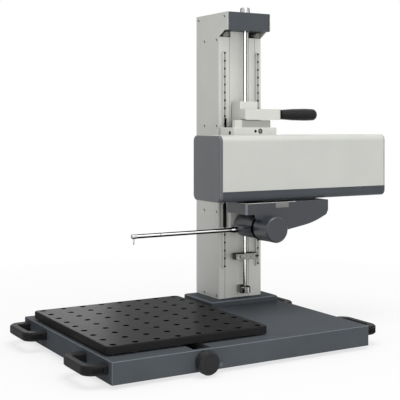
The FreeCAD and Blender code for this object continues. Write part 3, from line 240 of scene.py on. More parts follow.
PALE_ALUMINIUM = screen(203, 204, 199)
WHITE_STEEL = screen(240, 241, 239)
HEAD_GREY = screen(52, 55, 60)
FINISHES = {
    # Its fillets and edges are painted lighter: a painted highlight
    "dark_enamel": surface(
        "base_enamel",
        screen(76, 80, 84),
        roughness=0.36,
        specular=0.002,
        grain_scale=700,
        edge_radius=1.4 * MM,
        edge_light=2.1,
        boxy=True,
    ),
    "rubber": surface("foot_rubber", screen(34, 34, 35), roughness=0.85, mottle=0.12),
    "extrusion": surface(
        "column_anodised",
        PALE_ALUMINIUM,
        roughness=0.42,
        mottle=0.03,
        stretch=(1, 1, 0.02),
        edge_light=1.15,
    ),
    "light_enamel": surface(
        "light_enamel", screen(193, 194, 189), roughness=0.4, mottle=0.02, edge_light=1.14
    ),
    "dark_cap": surface("cap_enamel", screen(70, 74, 78), roughness=0.4, specular=0.1, edge_light=1.6),
    "rail_steel": surface(
        "ground_steel",
        screen(196, 197, 193),
        roughness=0.3,
        metallic=0.4,
        mottle=0.04,
        stretch=(1, 1, 0.02),
        edge_light=1.2,
    ),
    "polished_steel": surface(
        "polished_steel",
        WHITE_STEEL,
        roughness=0.14,
        metallic=1.0,
        mottle=0.02,
        grain_depth=0.004 * MM,
        edge_light=1.0,
        rim=(0.05, 0.12, 0.36),
        under=(0.02, 0.1, -0.2),
    ),
    "black_plastic": surface(
        "moulded_plastic",
        screen(42, 42, 43),
        roughness=0.48,
        specular=0.08,
        grain_scale=1600,
        grain_depth=0.05 * MM,
        edge_radius=0.9 * MM,
        edge_light=2.6,
    ),
    "black_anodised": surface(
        "black_anodised", screen(38, 38, 39), roughness=0.3, specular=0.005, mottle=0.1, edge_light=1.6
    ),
    "machined_alu": surface(
        "pale_anodised",
        PALE_ALUMINIUM,
        roughness=0.38,
        metallic=0.15,
        mottle=0.02,
        stretch=(0.05, 1, 1),
        edge_light=1.12,
    ),
    "black_steel": surface(
        "black_oxide",
        screen(34, 34, 36),
        roughness=0.4,
        metallic=0.5,
        specular=0.2,
        mottle=0.15,
        edge_light=2.0,
    ),
    "bright_steel": surface(
        "turned_steel",
        screen(196, 197, 196),
        roughness=0.25,
        metallic=0.9,
        mottle=0.04,
        edge_light=1.15,
        rim=(0.25, 0.2, 0.7),
    ),
    "bronze": surface(
        "turned_bronze",
        screen(176, 140, 84),
        roughness=0.3,
        metallic=0.9,
        mottle=0.08,
        edge_light=1.2,
        rim=(0.4, 0.3, 0.8),
    ),
    "head_enamel": surface(
        "head_enamel", HEAD_GREY, roughness=0.32, grain_scale=700, edge_radius=1.1 * MM, edge_light=3.0
    ),
    "glass": ruled_glass(),
}


# Finishes of single nodes

# The head's dark enamel painted lighter for the arm's drum and nose: painted light that makes up for the
# shade they sit in
ARM_ENAMEL_PAINTED_LIGHT = surface(
    "arm_enamel_painted_light", screen(63, 66, 71), roughness=0.32, specular=0.4, grain_scale=700, edge_light=2.4
)
HANDLE_PLASTIC = surface(
    "handle_plastic",
    screen(30, 30, 31),
    roughness=0.48,
    specular=0.06,
    grain_scale=1600,
    edge_radius=0.8 * MM,
    edge_light=2.6,
)
# Where the other colour of a node starts along its axis
TRAY_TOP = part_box("drive_tray")[1].z
BLOCK_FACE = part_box("rail_blocks")[0].y + 0.6 * MM
RISER_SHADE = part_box("riser_block")[0].x + 21 * MM
BRACKET_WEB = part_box("rod_foot_bracket")[1].y - 23 * MM
CAP_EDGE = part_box("top_cap")[1].x - 2.5 * MM
LOCK_LEVER_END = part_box("knob_lock_lever")[0].x + 47 * MM
NODE_FINISHES = {
    "rear_drum": ARM_ENAMEL_PAINTED_LIGHT,
    "arm_nose": ARM_ENAMEL_PAINTED_LIGHT,
    "front_left_handle": HANDLE_PLASTIC,
    "rear_left_handle": HANDLE_PLASTIC,
    "front_right_handle": HANDLE_PLASTIC,
    "rear_right_handle": HANDLE_PLASTIC,
    "lever_grip": surface(
        "grip_plastic", screen(24, 24, 26), roughness=0.36, specular=0.2, grain_scale=1300
    ),
    # Darker edges and a dark strip at its right end: painted shade
    "top_cap": surface(
        "top_cap_enamel",
        screen(72, 76, 80),
        roughness=0.4,
        specular=0.1,
        edge_radius=1.3 * MM,
        edge_light=0.5,
        other=("X", CAP_EDGE, screen(38, 40, 42)),
    ),
    "drive_housing": surface(
        "drive_enamel",
        screen(186, 187, 182),
        roughness=0.4,
        mottle=0.02,
        edge_radius=1.3 * MM,
        edge_light=1.4,
    ),
    "drive_left_cap": surface("cap_side_enamel", screen(84, 87, 91), roughness=0.36, edge_light=1.5),
    # Dark below the tray's top; above it a grey darker than the housing, painted shade on the cap's edge
    # that turns from the light
    "drive_right_cap": surface(
        "right_cap_enamel",
        screen(52, 55, 58),
        roughness=0.4,
        edge_light=1.1,
        other=("Z", TRAY_TOP, screen(156, 157, 153)),
    ),
    # Its chamfers and edges are painted much lighter: a painted highlight
    "head_housing": surface(
        "housing_enamel",
        HEAD_GREY,
        roughness=0.32,
        grain_scale=700,
        edge_radius=0.6 * MM,
        edge_light=4.4,
        boxy=True,
    ),
    # Darker beyond a line along its length: painted shadow cast by the lever above it
    "riser_block": surface(
        "riser_anodised",
        PALE_ALUMINIUM,
        roughness=0.38,
        metallic=0.15,
        mottle=0.02,
        edge_light=1.0,
        other=("X", RISER_SHADE, screen(160, 161, 156)),
    ),
    "knob_lock_lever": surface(
        "lock_lever_steel",
        screen(30, 30, 31),
        roughness=0.35,
        metallic=0.4,
        specular=0.2,
        edge_light=2.0,
        other=("X", LOCK_LEVER_END, screen(92, 94, 92)),
    ),
    "guide_rod": surface(
        "ground_rod_steel",
        WHITE_STEEL,
        roughness=0.16,
        metallic=1.0,
        mottle=0.01,
        grain_depth=0.004 * MM,
        edge_light=1.0,
        rim=(0.16, 0.08, 0.16),
    ),
    "stop_clamp": surface(
        "brushed_steel",
        screen(134, 134, 131),
        roughness=0.2,
        metallic=1.0,
        mottle=0.35,
        mottle_scale=140,
        stretch=(0.03, 1, 1),
        rim=(0.15, 0.45, 0.8),
    ),
    "rod_foot_bracket": surface(
        "milled_steel",
        screen(205, 205, 202),
        roughness=0.16,
        metallic=1.0,
        mottle=0.1,
        grain_depth=0.004 * MM,
        edge_light=1.0,
        rim=(0.08, 0.22, 0.5),
        other=("Y", BRACKET_WEB, screen(172, 173, 168)),
    ),
    # Grey, with a near-black front face: painted shade between the carriage and the column
    "rail_blocks": surface(
        "block_steel",
        screen(22, 22, 23),
        roughness=0.4,
        metallic=0.3,
        specular=0.1,
        edge_light=1.2,
        other=("Y", BLOCK_FACE, screen(150, 151, 148)),
    ),
}


# Finishes of the small pieces

# Near black: the colour of black parts and dark seams, and painted shade in sockets, slots and the gap
# between the drums
BLACK_AND_RECESS_SHADE = surface(
    "black_and_recess_shade", screen(8, 8, 9), roughness=0.7, specular=0.005, mottle=0.2, edge_light=1.0
)
# Black for the holes of the plate: painted shade inside them and on their countersinks
HOLE_PAINTED_SHADE = surface(
    "hole_painted_shade", screen(1, 1, 1), roughness=0.8, specular=0.001, mottle=0.2, edge_light=1.0
)
SEAM_SHADE = surface("seam_shade", screen(120, 121, 117), roughness=0.5, specular=0.1, edge_light=1.0)
RAIL_STRIP = surface("rail_strip", screen(118, 118, 115), roughness=0.45, metallic=0.3, edge_light=1.0)
DISC_STEEL = surface(
    "disc_steel", screen(124, 126, 121), roughness=0.4, metallic=0.4, mottle=0.1, edge_light=1.3
)
LABEL_PLATE = surface(
    "label_plate", screen(118, 118, 116), roughness=0.4, metallic=0.3, mottle=0.06, edge_light=1.3
)


def finish_nodes():
    """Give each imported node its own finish, or that of its material slot."""
    for row in frame["record"]["subparts"]:
        mesh = frame["nodes"][row["node"]].data
        mesh.materials.clear()
        mesh.materials.append(NODE_FINISHES.get(row["node"], FINISHES[row["material_slot"]]))


# Building small pieces

# How deep a small piece reaches into the face that it sits on
SINK = 0.3 * MM
# Sides of a small turned piece
ROUND = 24
# Faces that meet at a greater angle keep a sharp edge
SHARP_ANGLE = math.radians(32)
WELD_DISTANCE = 1e-6
NEARLY_UPRIGHT = 0.9
# Angles along a screw's dome, in radians, at which its rings lie
DOME_ANGLES = (0.0, 0.5, 0.9)


def shown(name, shape, finish, body):
    """Turn a bmesh into a piece with its finish, which rides on a body."""
    bmesh.ops.recalc_face_normals(shape, faces=shape.faces)
    mesh = bpy.data.meshes.new(name)
    shape.to_mesh(mesh)
    shape.free()
    mesh.materials.append(finish)
    mesh.shade_smooth()
    mesh.set_sharp_from_angle(angle=SHARP_ANGLE)
    piece = bpy.data.objects.new(name, mesh)
    bpy.context.scene.collection.objects.link(piece)
    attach(piece, body)


def across(axis):
    """Two directions square to the axis."""
    side = UP.cross(axis) if abs(axis.z) < NEARLY_UPRIGHT else RIGHT.copy()
    side.normalize()
    return side, axis.cross(side)


def hexagon(angle):
    """Distance from the centre to the side of a hexagon whose corners are at distance 1."""
    return math.cos(math.pi / 6) / math.cos(angle % (math.pi / 3) - math.pi / 6)


def turn(shape, profile, place, axis, count=ROUND):
    """Add a turned form. The profile holds (height, radius) pairs, with "hex" for a six-sided ring."""
    side, up = across(axis)
    rings = []
    for height, radius, *form in profile:
        centre = place + axis * height
        if not radius:
            rings.append([shape.verts.new(centre)])
            continue
        ring = []
        for step in range(count):
            angle = 2 * math.pi * step / count
            reach = radius * (hexagon(angle) if form else 1)
            ring.append(shape.verts.new(centre + reach * (math.cos(angle) * side + math.sin(angle) * up)))
        rings.append(ring)
    for first, second in zip(rings, rings[1:]):
        for step in range(count):
            after = (step + 1) % count
            corners = [first[step % len(first)], first[after % len(first)]]
            corners += [second[after % len(second)], second[step % len(second)]]
            unique = list(dict.fromkeys(corners))
            shape.faces.new(unique)


def turn_rings(shape, profile, places, axis, count=ROUND):
    """Add a ring at each place, turned from a profile whose last point joins its first."""
    for place in places:
        turn(shape, profile + profile[:1], place, axis, count)
    bmesh.ops.remove_doubles(shape, verts=shape.verts, dist=WELD_DISTANCE)


def button_screw(radius, height):
    """Profile of a low domed screw head with a hexagon socket."""
    bore = 0.4 * radius
    bottom = 0.3 * height
    dome = [(height * math.sin(angle), radius * math.cos(angle)) for angle in DOME_ANGLES]
    socket = [(height, bore, "hex"), (bottom, bore, "hex"), (bottom, 0)]
    return [(-SINK, 0), (-SINK, radius), *dome, *socket]


def plug(radius, height):
    """Profile of a flat plug with a slightly rounded rim."""
    top_radius = 0.86 * radius
    return [(-SINK, 0), (-SINK, radius), (height / 2, radius), (height, top_radius), (height, 0)]


def row_of(name, profile, places, axis, finish, body):
    """Identical small pieces, one at each place."""
    shape = bmesh.new()
    for place in places:
        turn(shape, profile, Vector(place), axis)
    shown(name, shape, finish, body)


def box_with_edges(shape, low, high, edge):
    """Add a box with bevelled edges."""
    made = bmesh.ops.create_cube(shape, size=1.0)["verts"]
    centre = (low + high) / 2
    size = high - low
    for vertex in made:
        vertex.co = Vector(tuple(c + v * s for c, v, s in zip(centre, vertex.co, size)))
    edges = list(dict.fromkeys(link for vertex in made for link in vertex.link_edges))
    bmesh.ops.bevel(shape, geom=edges, offset=edge, segments=2, profile=0.5, affect="EDGES")


def bar(shape, start, end, axis, width, height):
    """Add a flat bar from start to end that stands on a face, with its upper edges drawn in."""
    along = (end - start).normalized()
    side = axis.cross(along)
    inset = height / 3
    rings = []
    for level, shrink in ((-SINK, 0), (height - inset, 0), (height, inset)):
        corners = []
        for place, way in ((start, -1), (end, 1)):
            for turned in (way, -way):
                offset = side * turned * (width / 2 - shrink) - along * way * shrink
                corners.append(shape.verts.new(place + offset + axis * level))
        rings.append(corners)
    for first, second in zip(rings, rings[1:]):
        for index in range(4):
            after = (index + 1) % 4
            shape.faces.new([first[index], first[after], second[after], second[index]])
    shape.faces.new(rings[0])
    shape.faces.new(rings[-1])


# Details of the table

HOLE_PITCH = 50 * MM
HOLE_RADIUS = 5 * MM
RIM_RADIUS = 7.2 * MM
RIM_HEIGHT = 0.04 * MM
THREAD_PITCH = 1.5 * MM
THREAD_DEPTH = 0.55 * MM
THREAD_HALF_FOOT = 0.42 * THREAD_PITCH
THREAD_STEPS = 12
THREAD_START = 0.8 * MM
THREAD_LENGTH = 12 * MM


def hole_places():
    """The centres of the holes at the top of the plate: as many as fit, in its middle."""
    low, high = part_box("hole_plate")
    columns = int((high.x - low.x) // HOLE_PITCH) + 1
    lines = int((high.y - low.y) // HOLE_PITCH) + 1
    first_x = (low.x + high.x - (columns - 1) * HOLE_PITCH) / 2
    first_y = (low.y + high.y - (lines - 1) * HOLE_PITCH) / 2
    return [
        Vector((first_x + column * HOLE_PITCH, first_y + line * HOLE_PITCH, high.z))
        for column in range(columns)
        for line in range(lines)
    ]


def make_threads():
    """A helical ridge on the wall of each hole, black as painted shade inside the hole."""
    shape = bmesh.new()
    steps = int(THREAD_LENGTH / THREAD_PITCH * THREAD_STEPS)
    for centre in hole_places():
        sections = []
        for step in range(steps + 1):
            angle = 2 * math.pi * step / THREAD_STEPS
            depth = THREAD_START + THREAD_PITCH * step / THREAD_STEPS
            way = Vector((math.cos(angle), math.sin(angle), 0))
            points = [
                centre + way * HOLE_RADIUS - UP * (depth - THREAD_HALF_FOOT),
                centre + way * (HOLE_RADIUS - THREAD_DEPTH) - UP * depth,
                centre + way * HOLE_RADIUS - UP * (depth + THREAD_HALF_FOOT),
            ]
            sections.append([shape.verts.new(point) for point in points])
        for first, second in zip(sections, sections[1:]):
            for index in range(3):
                after = (index + 1) % 3
                shape.faces.new([first[index], first[after], second[after], second[index]])
        shape.faces.new(sections[0])
        shape.faces.new(sections[-1])
    shown("hole_threads", shape, HOLE_PAINTED_SHADE, "table")


def make_hole_rims():
    """The countersink round each hole, painted black as the hole's shade."""
    profile = [
        (-SINK, HOLE_RADIUS),
        (RIM_HEIGHT, HOLE_RADIUS),
        (RIM_HEIGHT, RIM_RADIUS - RIM_HEIGHT),
        (0, RIM_RADIUS),
        (-SINK, RIM_RADIUS),
    ]
    shape = bmesh.new()
    turn_rings(shape, profile, hole_places(), UP)
    shown("hole_rims", shape, HOLE_PAINTED_SHADE, "table")


# Details of the column's front

RAIL_HOLE_PITCH = 20.44 * MM
RAIL_HOLE_INSET = 3.2 * MM
RAIL_HOLE_RADIUS = 2.9 * MM
RAIL_PLUG_HEIGHT = 0.15 * MM
RAIL_STRIP_WIDTH = 3.6 * MM
RAIL_STRIP_HEIGHT = 0.06 * MM
SEAM_WIDTH = 1.1 * MM
SEAM_HEIGHT = 0.08 * MM
SEAM_EDGE = 0.02 * MM
# From a rail's inner side to the seam beside it, and from a rail's or the core's end to the seam's end
SEAM_BESIDE_RAIL = 0.8 * MM
SEAM_END_GAP = 1 * MM
SEAM_TOP_GAP = 16 * MM
# From the core's left side and foot to the seam beside the rod
ROD_SEAM_X = 31 * MM
ROD_SEAM_START = 262 * MM
DISC_RADIUS = 7 * MM
DISC_LENGTH = 12 * MM
DISC_FRONT_EDGE = 1.2 * MM
DISC_BACK_EDGE = 1 * MM
DISC_FACE_RADIUS = 0.9 * DISC_RADIUS
DISC_RING_HEIGHT = 0.8 * MM
DISC_RING_OUTSIDE = 0.8 * DISC_RADIUS
DISC_RING_INSIDE = 0.38 * DISC_RADIUS
DISC_RING_FOOT = 0.3 * DISC_RADIUS
# From the rails' outer sides and the covers' top to the discs
DISC_INSET = 8 * MM
DISC_DROP = 61 * MM


def make_rail_plugs():
    """The capped screw holes along the front of both rails, and the strip that joins them."""
    for name in ("left_rail", "right_rail"):
        low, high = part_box(name)
        count = int((high.z - low.z - RAIL_HOLE_INSET) / RAIL_HOLE_PITCH) + 1
        middle = (low.x + high.x) / 2
        first = high.z - RAIL_HOLE_INSET
        places = [(middle, low.y, first - step * RAIL_HOLE_PITCH) for step in range(count)]
        profile = plug(RAIL_HOLE_RADIUS, RAIL_PLUG_HEIGHT)
        row_of(f"{name}_plugs", profile, places, FRONT, BLACK_AND_RECESS_SHADE, "stand")
        shape = bmesh.new()
        last = places[-1][2]
        corner = Vector((middle - RAIL_STRIP_WIDTH / 2, low.y - RAIL_STRIP_HEIGHT, last))
        opposite = Vector((middle + RAIL_STRIP_WIDTH / 2, low.y + SINK, first))
        box_with_edges(shape, corner, opposite, RAIL_STRIP_HEIGHT / 3)
        shown(f"{name}_strip", shape, RAIL_STRIP, "stand")


def make_column_seams():
    """The seams along the front of the column: below the left rail, above the right one, beside the rod."""
    core_low, core_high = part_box("column_core")
    left_low, left_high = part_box("left_rail")
    right_low, right_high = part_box("right_rail")
    top = core_high.z - SEAM_TOP_GAP
    shape = bmesh.new()
    for x, start, end in (
        (left_high.x + SEAM_BESIDE_RAIL, core_low.z + SEAM_END_GAP, left_low.z - SEAM_END_GAP),
        (right_low.x - SEAM_BESIDE_RAIL, right_high.z + SEAM_END_GAP, top),
        (core_low.x + ROD_SEAM_X, core_low.z + ROD_SEAM_START, top),
    ):
        corner = Vector((x - SEAM_WIDTH / 2, core_low.y - SEAM_HEIGHT, start))
        opposite = Vector((x + SEAM_WIDTH / 2, core_low.y + SINK, end))
        box_with_edges(shape, corner, opposite, SEAM_EDGE)
    shown("column_seams", shape, SEAM_SHADE, "stand")


def make_pocket_discs():
    """A round disc on the column's front in each pocket under the cap, with a raised ring on its face."""
    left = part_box("left_rail")[0].x + DISC_INSET
    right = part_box("right_rail")[1].x - DISC_INSET
    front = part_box("column_core")[0].y - DISC_LENGTH
    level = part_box("left_side_cover")[1].z - DISC_DROP + DISC_RADIUS
    profile = [
        (0, 0),
        (0, DISC_RING_FOOT),
        (DISC_RING_HEIGHT, DISC_RING_INSIDE),
        (DISC_RING_HEIGHT, DISC_RING_OUTSIDE),
        (0, DISC_FACE_RADIUS),
        (-DISC_FRONT_EDGE, DISC_RADIUS),
        (DISC_BACK_EDGE - DISC_LENGTH, DISC_RADIUS),
        (-DISC_LENGTH, DISC_FACE_RADIUS),
        (-DISC_LENGTH, 0),
    ]
    places = [(x, front, level) for x in (left, right)]
    row_of("pocket_discs", profile, places, FRONT, DISC_STEEL, "stand")


# Screws of the column's covers

COVER_SCREW_RADIUS = 4.6 * MM
COVER_SCREW_HEIGHT = 0.25 * MM
COVER_SCREW_RIM_HEIGHT = 0.05 * MM
COVER_SCREW_TOP_RADIUS = 0.9 * COVER_SCREW_RADIUS
SLOT_WIDTH = 3.2 * MM
SLOT_HEIGHT = 0.12 * MM
SLOT_BED = 0.2 * MM
SLOT_SLANT = 1.1
SLOT_REACH = 0.92 * COVER_SCREW_RADIUS
# Heights above the core's foot, and places behind the core's front
LOWEST_ROW = 8 * MM
SECOND_ROW = 225 * MM
ROW_PITCH = 223 * MM
SIDE_COLUMNS = (9.5 * MM, 73 * MM)
# From the covers' top, front and back edges to their top screws, and from the rear cover's sides
TOP_ROW_DROP = 11 * MM
TOP_FRONT_INSET = 16 * MM
TOP_BACK_INSET = 12 * MM
REAR_INSET = 14 * MM


def make_slotted_screws(name, places, axis):
    """Countersunk heads, nearly flush, each with a slanted slot drawn black as painted shade."""
    head = [
        (-SINK, 0),
        (-SINK, COVER_SCREW_RADIUS),
        (COVER_SCREW_RIM_HEIGHT, COVER_SCREW_RADIUS),
        (COVER_SCREW_HEIGHT, COVER_SCREW_TOP_RADIUS),
        (COVER_SCREW_HEIGHT, 0),
    ]
    row_of(name, head, places, axis, FINISHES["light_enamel"], "stand")
    side, up = across(axis)
    slant = side * SLOT_SLANT - up if axis.x < 0 else side * SLOT_SLANT + up
    reach = slant.normalized() * SLOT_REACH
    shape = bmesh.new()
    for place in places:
        middle = Vector(place) + axis * SLOT_BED
        bar(shape, middle - reach, middle + reach, axis, SLOT_WIDTH, SLOT_HEIGHT)
    shown(f"{name}_slots", shape, BLACK_AND_RECESS_SHADE, "stand")


def make_cover_screws():
    """The screws that hold the side covers and the rear cover."""
    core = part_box("column_core")[0]
    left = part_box("left_side_cover")[0]
    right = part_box("right_side_cover")[1]
    rear_low, rear_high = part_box("rear_cover")
    rows = [core.z + LOWEST_ROW] + [core.z + SECOND_ROW + step * ROW_PITCH for step in range(3)]
    top_row = rear_high.z - TOP_ROW_DROP
    side_places = [(core.y + column, z) for column in SIDE_COLUMNS for z in rows]
    side_places += [(left.y + TOP_FRONT_INSET, top_row), (right.y - TOP_BACK_INSET, top_row)]
    make_slotted_screws("left_cover_screws", [(left.x, y, z) for y, z in side_places], LEFT)
    make_slotted_screws("right_cover_screws", [(right.x, y, z) for y, z in side_places], RIGHT)
    rear_places = [
        (x, rear_high.y, z)
        for x in (rear_low.x + REAR_INSET, rear_high.x - REAR_INSET)
        for z in (*rows, top_row)
    ]
    make_slotted_screws("rear_cover_screws", rear_places, BACK)


# Details of the bridge

# From the bridge's left end to its front and top screws, and from its back edge to the top screws
RING_SCREW_X = 80.2 * MM
SET_SCREW_X = 65.3 * MM
TOP_SCREWS_X = (20 * MM, 25 * MM)
TOP_SCREWS_INSET = 5 * MM
# The screw on the left side, behind the front and below the middle
SIDE_SCREW_INSET = 19 * MM
SIDE_SCREW_DROP = 4 * MM
RING_RADIUS = 6.4 * MM
RING_BORE = 4 * MM
RING_HEIGHT = 0.3 * MM
RING_BED = 0.05 * MM
CAP_SCREW_RADIUS = 3.8 * MM
CAP_SCREW_HEIGHT = 0.5 * MM
CAP_SCREW_EDGE = 0.2 * MM
CAP_SOCKET_RADIUS = 2 * MM
CAP_SOCKET_TAPER = 0.1 * MM
CAP_SOCKET_BOTTOM = 0.1 * MM
# The wiper stands on the bridge, between these insets from the bridge's back
WIPER_WIDTH = 4.4 * MM
WIPER_HEIGHT = 24 * MM
WIPER_BACK_INSET = 0.6 * MM
WIPER_FRONT_INSET = 4 * MM
WIPER_EDGE = 0.6 * MM


def make_bridge_screws():
    """A cap screw in a ring and a set screw on the bridge's front, and a screw on its left side."""
    low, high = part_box("bridge_plate")
    level = (low.z + high.z) / 2
    steel = FINISHES["black_steel"]
    ring = [
        (-SINK, 0),
        (-SINK, RING_RADIUS),
        (RING_HEIGHT, RING_RADIUS),
        (RING_HEIGHT, RING_BORE),
        (RING_BED, RING_BORE),
        (RING_BED, 0),
    ]
    ring_place = [(low.x + RING_SCREW_X, low.y, level)]
    row_of("bridge_screw_ring", ring, ring_place, FRONT, steel, "carriage")
    head = [
        (0, 0),
        (0, CAP_SCREW_RADIUS),
        (CAP_SCREW_HEIGHT, CAP_SCREW_RADIUS - CAP_SCREW_EDGE),
        (CAP_SCREW_HEIGHT, CAP_SOCKET_RADIUS, "hex"),
        (CAP_SOCKET_BOTTOM, CAP_SOCKET_RADIUS - CAP_SOCKET_TAPER, "hex"),
        (CAP_SOCKET_BOTTOM, 0),
    ]
    row_of("bridge_cap_screw", head, ring_place, FRONT, DISC_STEEL, "carriage")
    set_screw = plug(radius=3.7 * MM, height=0.1 * MM)
    set_place = [(low.x + SET_SCREW_X, low.y, level)]
    row_of("bridge_set_screw", set_screw, set_place, FRONT, BLACK_AND_RECESS_SHADE, "carriage")
    side_screw = button_screw(radius=5 * MM, height=0.8 * MM)
    side_place = [(low.x, low.y + SIDE_SCREW_INSET, level - SIDE_SCREW_DROP)]
    row_of("bridge_side_screw", side_screw, side_place, LEFT, steel, "carriage")


def make_rail_wiper():
    """The wiper that stands on the bridge before the left rail."""
    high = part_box("bridge_plate")[1]
    rail_low, rail_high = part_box("left_rail")
    middle = (rail_low.x + rail_high.x) / 2
    corner = Vector((middle - WIPER_WIDTH / 2, high.y - WIPER_FRONT_INSET, high.z - SINK))
    opposite = Vector((middle + WIPER_WIDTH / 2, high.y - WIPER_BACK_INSET, high.z + WIPER_HEIGHT))
    shape = bmesh.new()
    box_with_edges(shape, corner, opposite, WIPER_EDGE)
    shown("rail_wiper", shape, BLACK_AND_RECESS_SHADE, "carriage")


def make_top_screws():
    """Two small screws on the bridge beside the wiper."""
    low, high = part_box("bridge_plate")
    places = [(low.x + x, high.y - TOP_SCREWS_INSET, high.z) for x in TOP_SCREWS_X]
    screw = button_screw(radius=1.9 * MM, height=1.6 * MM)
    row_of("bridge_top_screws", screw, places, UP, FINISHES["black_steel"], "carriage")


# Screws of the stop, of the rod's foot and above the knob

STOP_END_INSET = 6.5 * MM
FOOT_SCREW_HEIGHT = 6.5 * MM
FOOT_SCREW_SINK = 0.15 * MM
KNOB_SCREW_LEFT = 3.3 * MM
KNOB_SCREW_DROP = 4 * MM


def make_stop_screws():
    """The socket in the head of the stop's screw, a black disc as painted shade, and the screw that closes
    its right end.
    """
    low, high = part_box("stop_screw")
    middle = ((low.x + high.x) / 2, low.y, (low.z + high.z) / 2)
    socket = plug(radius=1.9 * MM, height=0.08 * MM)
    row_of("stop_socket", socket, [middle], FRONT, BLACK_AND_RECESS_SHADE, "stop")
    clamp_low, clamp_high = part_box("stop_clamp")
    right = (clamp_high.x - STOP_END_INSET, clamp_low.y, middle[2])
    end_screw = button_screw(radius=2.6 * MM, height=0.5 * MM)
    row_of("stop_end_screw", end_screw, [right], FRONT, BLACK_AND_RECESS_SHADE, "stop")


def make_foot_set_screw():
    """The set screw in the bracket that holds the guide rod's foot, at the bracket's front left."""
    low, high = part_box("rod_foot_bracket")
    radius = (high.x - low.x) / 2
    way = (FRONT + LEFT).normalized()
    centre = Vector(((low.x + high.x) / 2, low.y + radius, low.z + FOOT_SCREW_HEIGHT))
    place = centre + way * (radius - FOOT_SCREW_SINK)
    screw = plug(radius=3 * MM, height=0.3 * MM)
    row_of("foot_set_screw", screw, [place], way, BLACK_AND_RECESS_SHADE, "stand")


def make_knob_set_screw():
    """The small set screw in the base's front above the knob."""
    base_low, base_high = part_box("base_plate")
    knob_low, knob_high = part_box("table_knob")
    middle = (knob_low.x + knob_high.x) / 2
    place = (middle - KNOB_SCREW_LEFT, base_low.y, base_high.z - KNOB_SCREW_DROP)
    screw = plug(radius=1.6 * MM, height=0.1 * MM)
    row_of("knob_set_screw", screw, [place], FRONT, BLACK_AND_RECESS_SHADE, "stand")


# Details of the arm

GAP_SHADE_SIDES = 64
GAP_SHADE_HEIGHT = 0.4 * MM
GAP_SHADE_SINK = 0.5 * MM
GAP_SHADE_OVERLAP = 1 * MM
# Reach of the painted gap shade before and behind the end of the head's drum
GAP_SHADE_FRONT = 5 * MM
GAP_SHADE_BACK = 4 * MM
NOSE_SEAM_WIDTH = 1.6 * MM
NOSE_SEAM_HEIGHT = 0.15 * MM
# From the nose's left end, right end and top to the ends of its seam
NOSE_SEAM_LEFT = 6 * MM
NOSE_SEAM_RIGHT = 2 * MM
NOSE_SEAM_LEFT_DROP = 5 * MM
NOSE_SEAM_RIGHT_DROP = 1.6 * MM
TUBE_SEAM_X = 62 * MM
TUBE_SEAM_WIDTH = 1.4 * MM
TUBE_SEAM_HEIGHT = 0.12 * MM


def make_drum_gap_shade():
    """A black ring over the gap between the head's drum and the arm's drum: painted shade that stands in
    for the gap's darkness.
    """
    head_low, head_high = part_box("pivot_drum")
    arm_low, arm_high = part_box("rear_drum")
    centre = Vector(((head_low.x + head_high.x) / 2, head_high.y, (head_low.z + head_high.z) / 2))
    radius = (head_high.x - head_low.x) / 2
    inner = (arm_high.x - arm_low.x) / 2 - GAP_SHADE_OVERLAP
    profile = [
        (-GAP_SHADE_FRONT, radius - GAP_SHADE_SINK),
        (-GAP_SHADE_FRONT, radius + GAP_SHADE_HEIGHT),
        (GAP_SHADE_BACK, radius + GAP_SHADE_HEIGHT),
        (GAP_SHADE_BACK, inner),
        (-SINK, inner),
        (-SINK, radius - GAP_SHADE_SINK),
    ]
    shape = bmesh.new()
    turn_rings(shape, profile, [centre], BACK, GAP_SHADE_SIDES)
    shown("drum_gap_shade", shape, BLACK_AND_RECESS_SHADE, "head")


def make_arm_seams():
    """The dark seam along the nose and the seam round the arm's tube."""
    low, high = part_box("arm_nose")
    start = Vector((low.x + NOSE_SEAM_LEFT, low.y, high.z - NOSE_SEAM_LEFT_DROP))
    end = Vector((high.x - NOSE_SEAM_RIGHT, low.y, high.z - NOSE_SEAM_RIGHT_DROP))
    shape = bmesh.new()
    bar(shape, start, end, FRONT, NOSE_SEAM_WIDTH, NOSE_SEAM_HEIGHT)
    shown("nose_seam", shape, BLACK_AND_RECESS_SHADE, "arm")
    low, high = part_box("arm_tube")
    radius = (high.z - low.z) / 2
    profile = [
        (0, radius - SINK),
        (0, radius + TUBE_SEAM_HEIGHT),
        (TUBE_SEAM_WIDTH, radius + TUBE_SEAM_HEIGHT),
        (TUBE_SEAM_WIDTH, radius - SINK),
    ]
    place = Vector((low.x + TUBE_SEAM_X, (low.y + high.y) / 2, (low.z + high.z) / 2))
    shape = bmesh.new()
    turn_rings(shape, profile, [place], RIGHT)
    shown("tube_seam", shape, BLACK_AND_RECESS_SHADE, "arm")


# Details of the probe head

PLATE_X = 86 * MM
PLATE_WIDTH = 39 * MM
# From the head's top to the plate's lower and upper side
PLATE_BOTTOM = 14 * MM
PLATE_TOP = 0.6 * MM
PLATE_THICKNESS = 0.5 * MM
PLATE_EDGE = 0.2 * MM
CHAMFER = 4 * MM
HIGHLIGHT_TRIM_INSET = 5 * MM
HIGHLIGHT_TRIM_LENGTH = 141 * MM
HIGHLIGHT_TRIM_HEIGHT = 1.2 * MM
HIGHLIGHT_TRIM_THICKNESS = 0.3 * MM
HIGHLIGHT_TRIM_EDGE = 0.1 * MM
# The highlight trim's narrower run round the chamfer and along the left side
SIDE_HIGHLIGHT_TRIM_LENGTH = 24 * MM
SIDE_HIGHLIGHT_TRIM_WIDTH = 1 * MM
SIDE_HIGHLIGHT_TRIM_DROP = 0.6 * MM


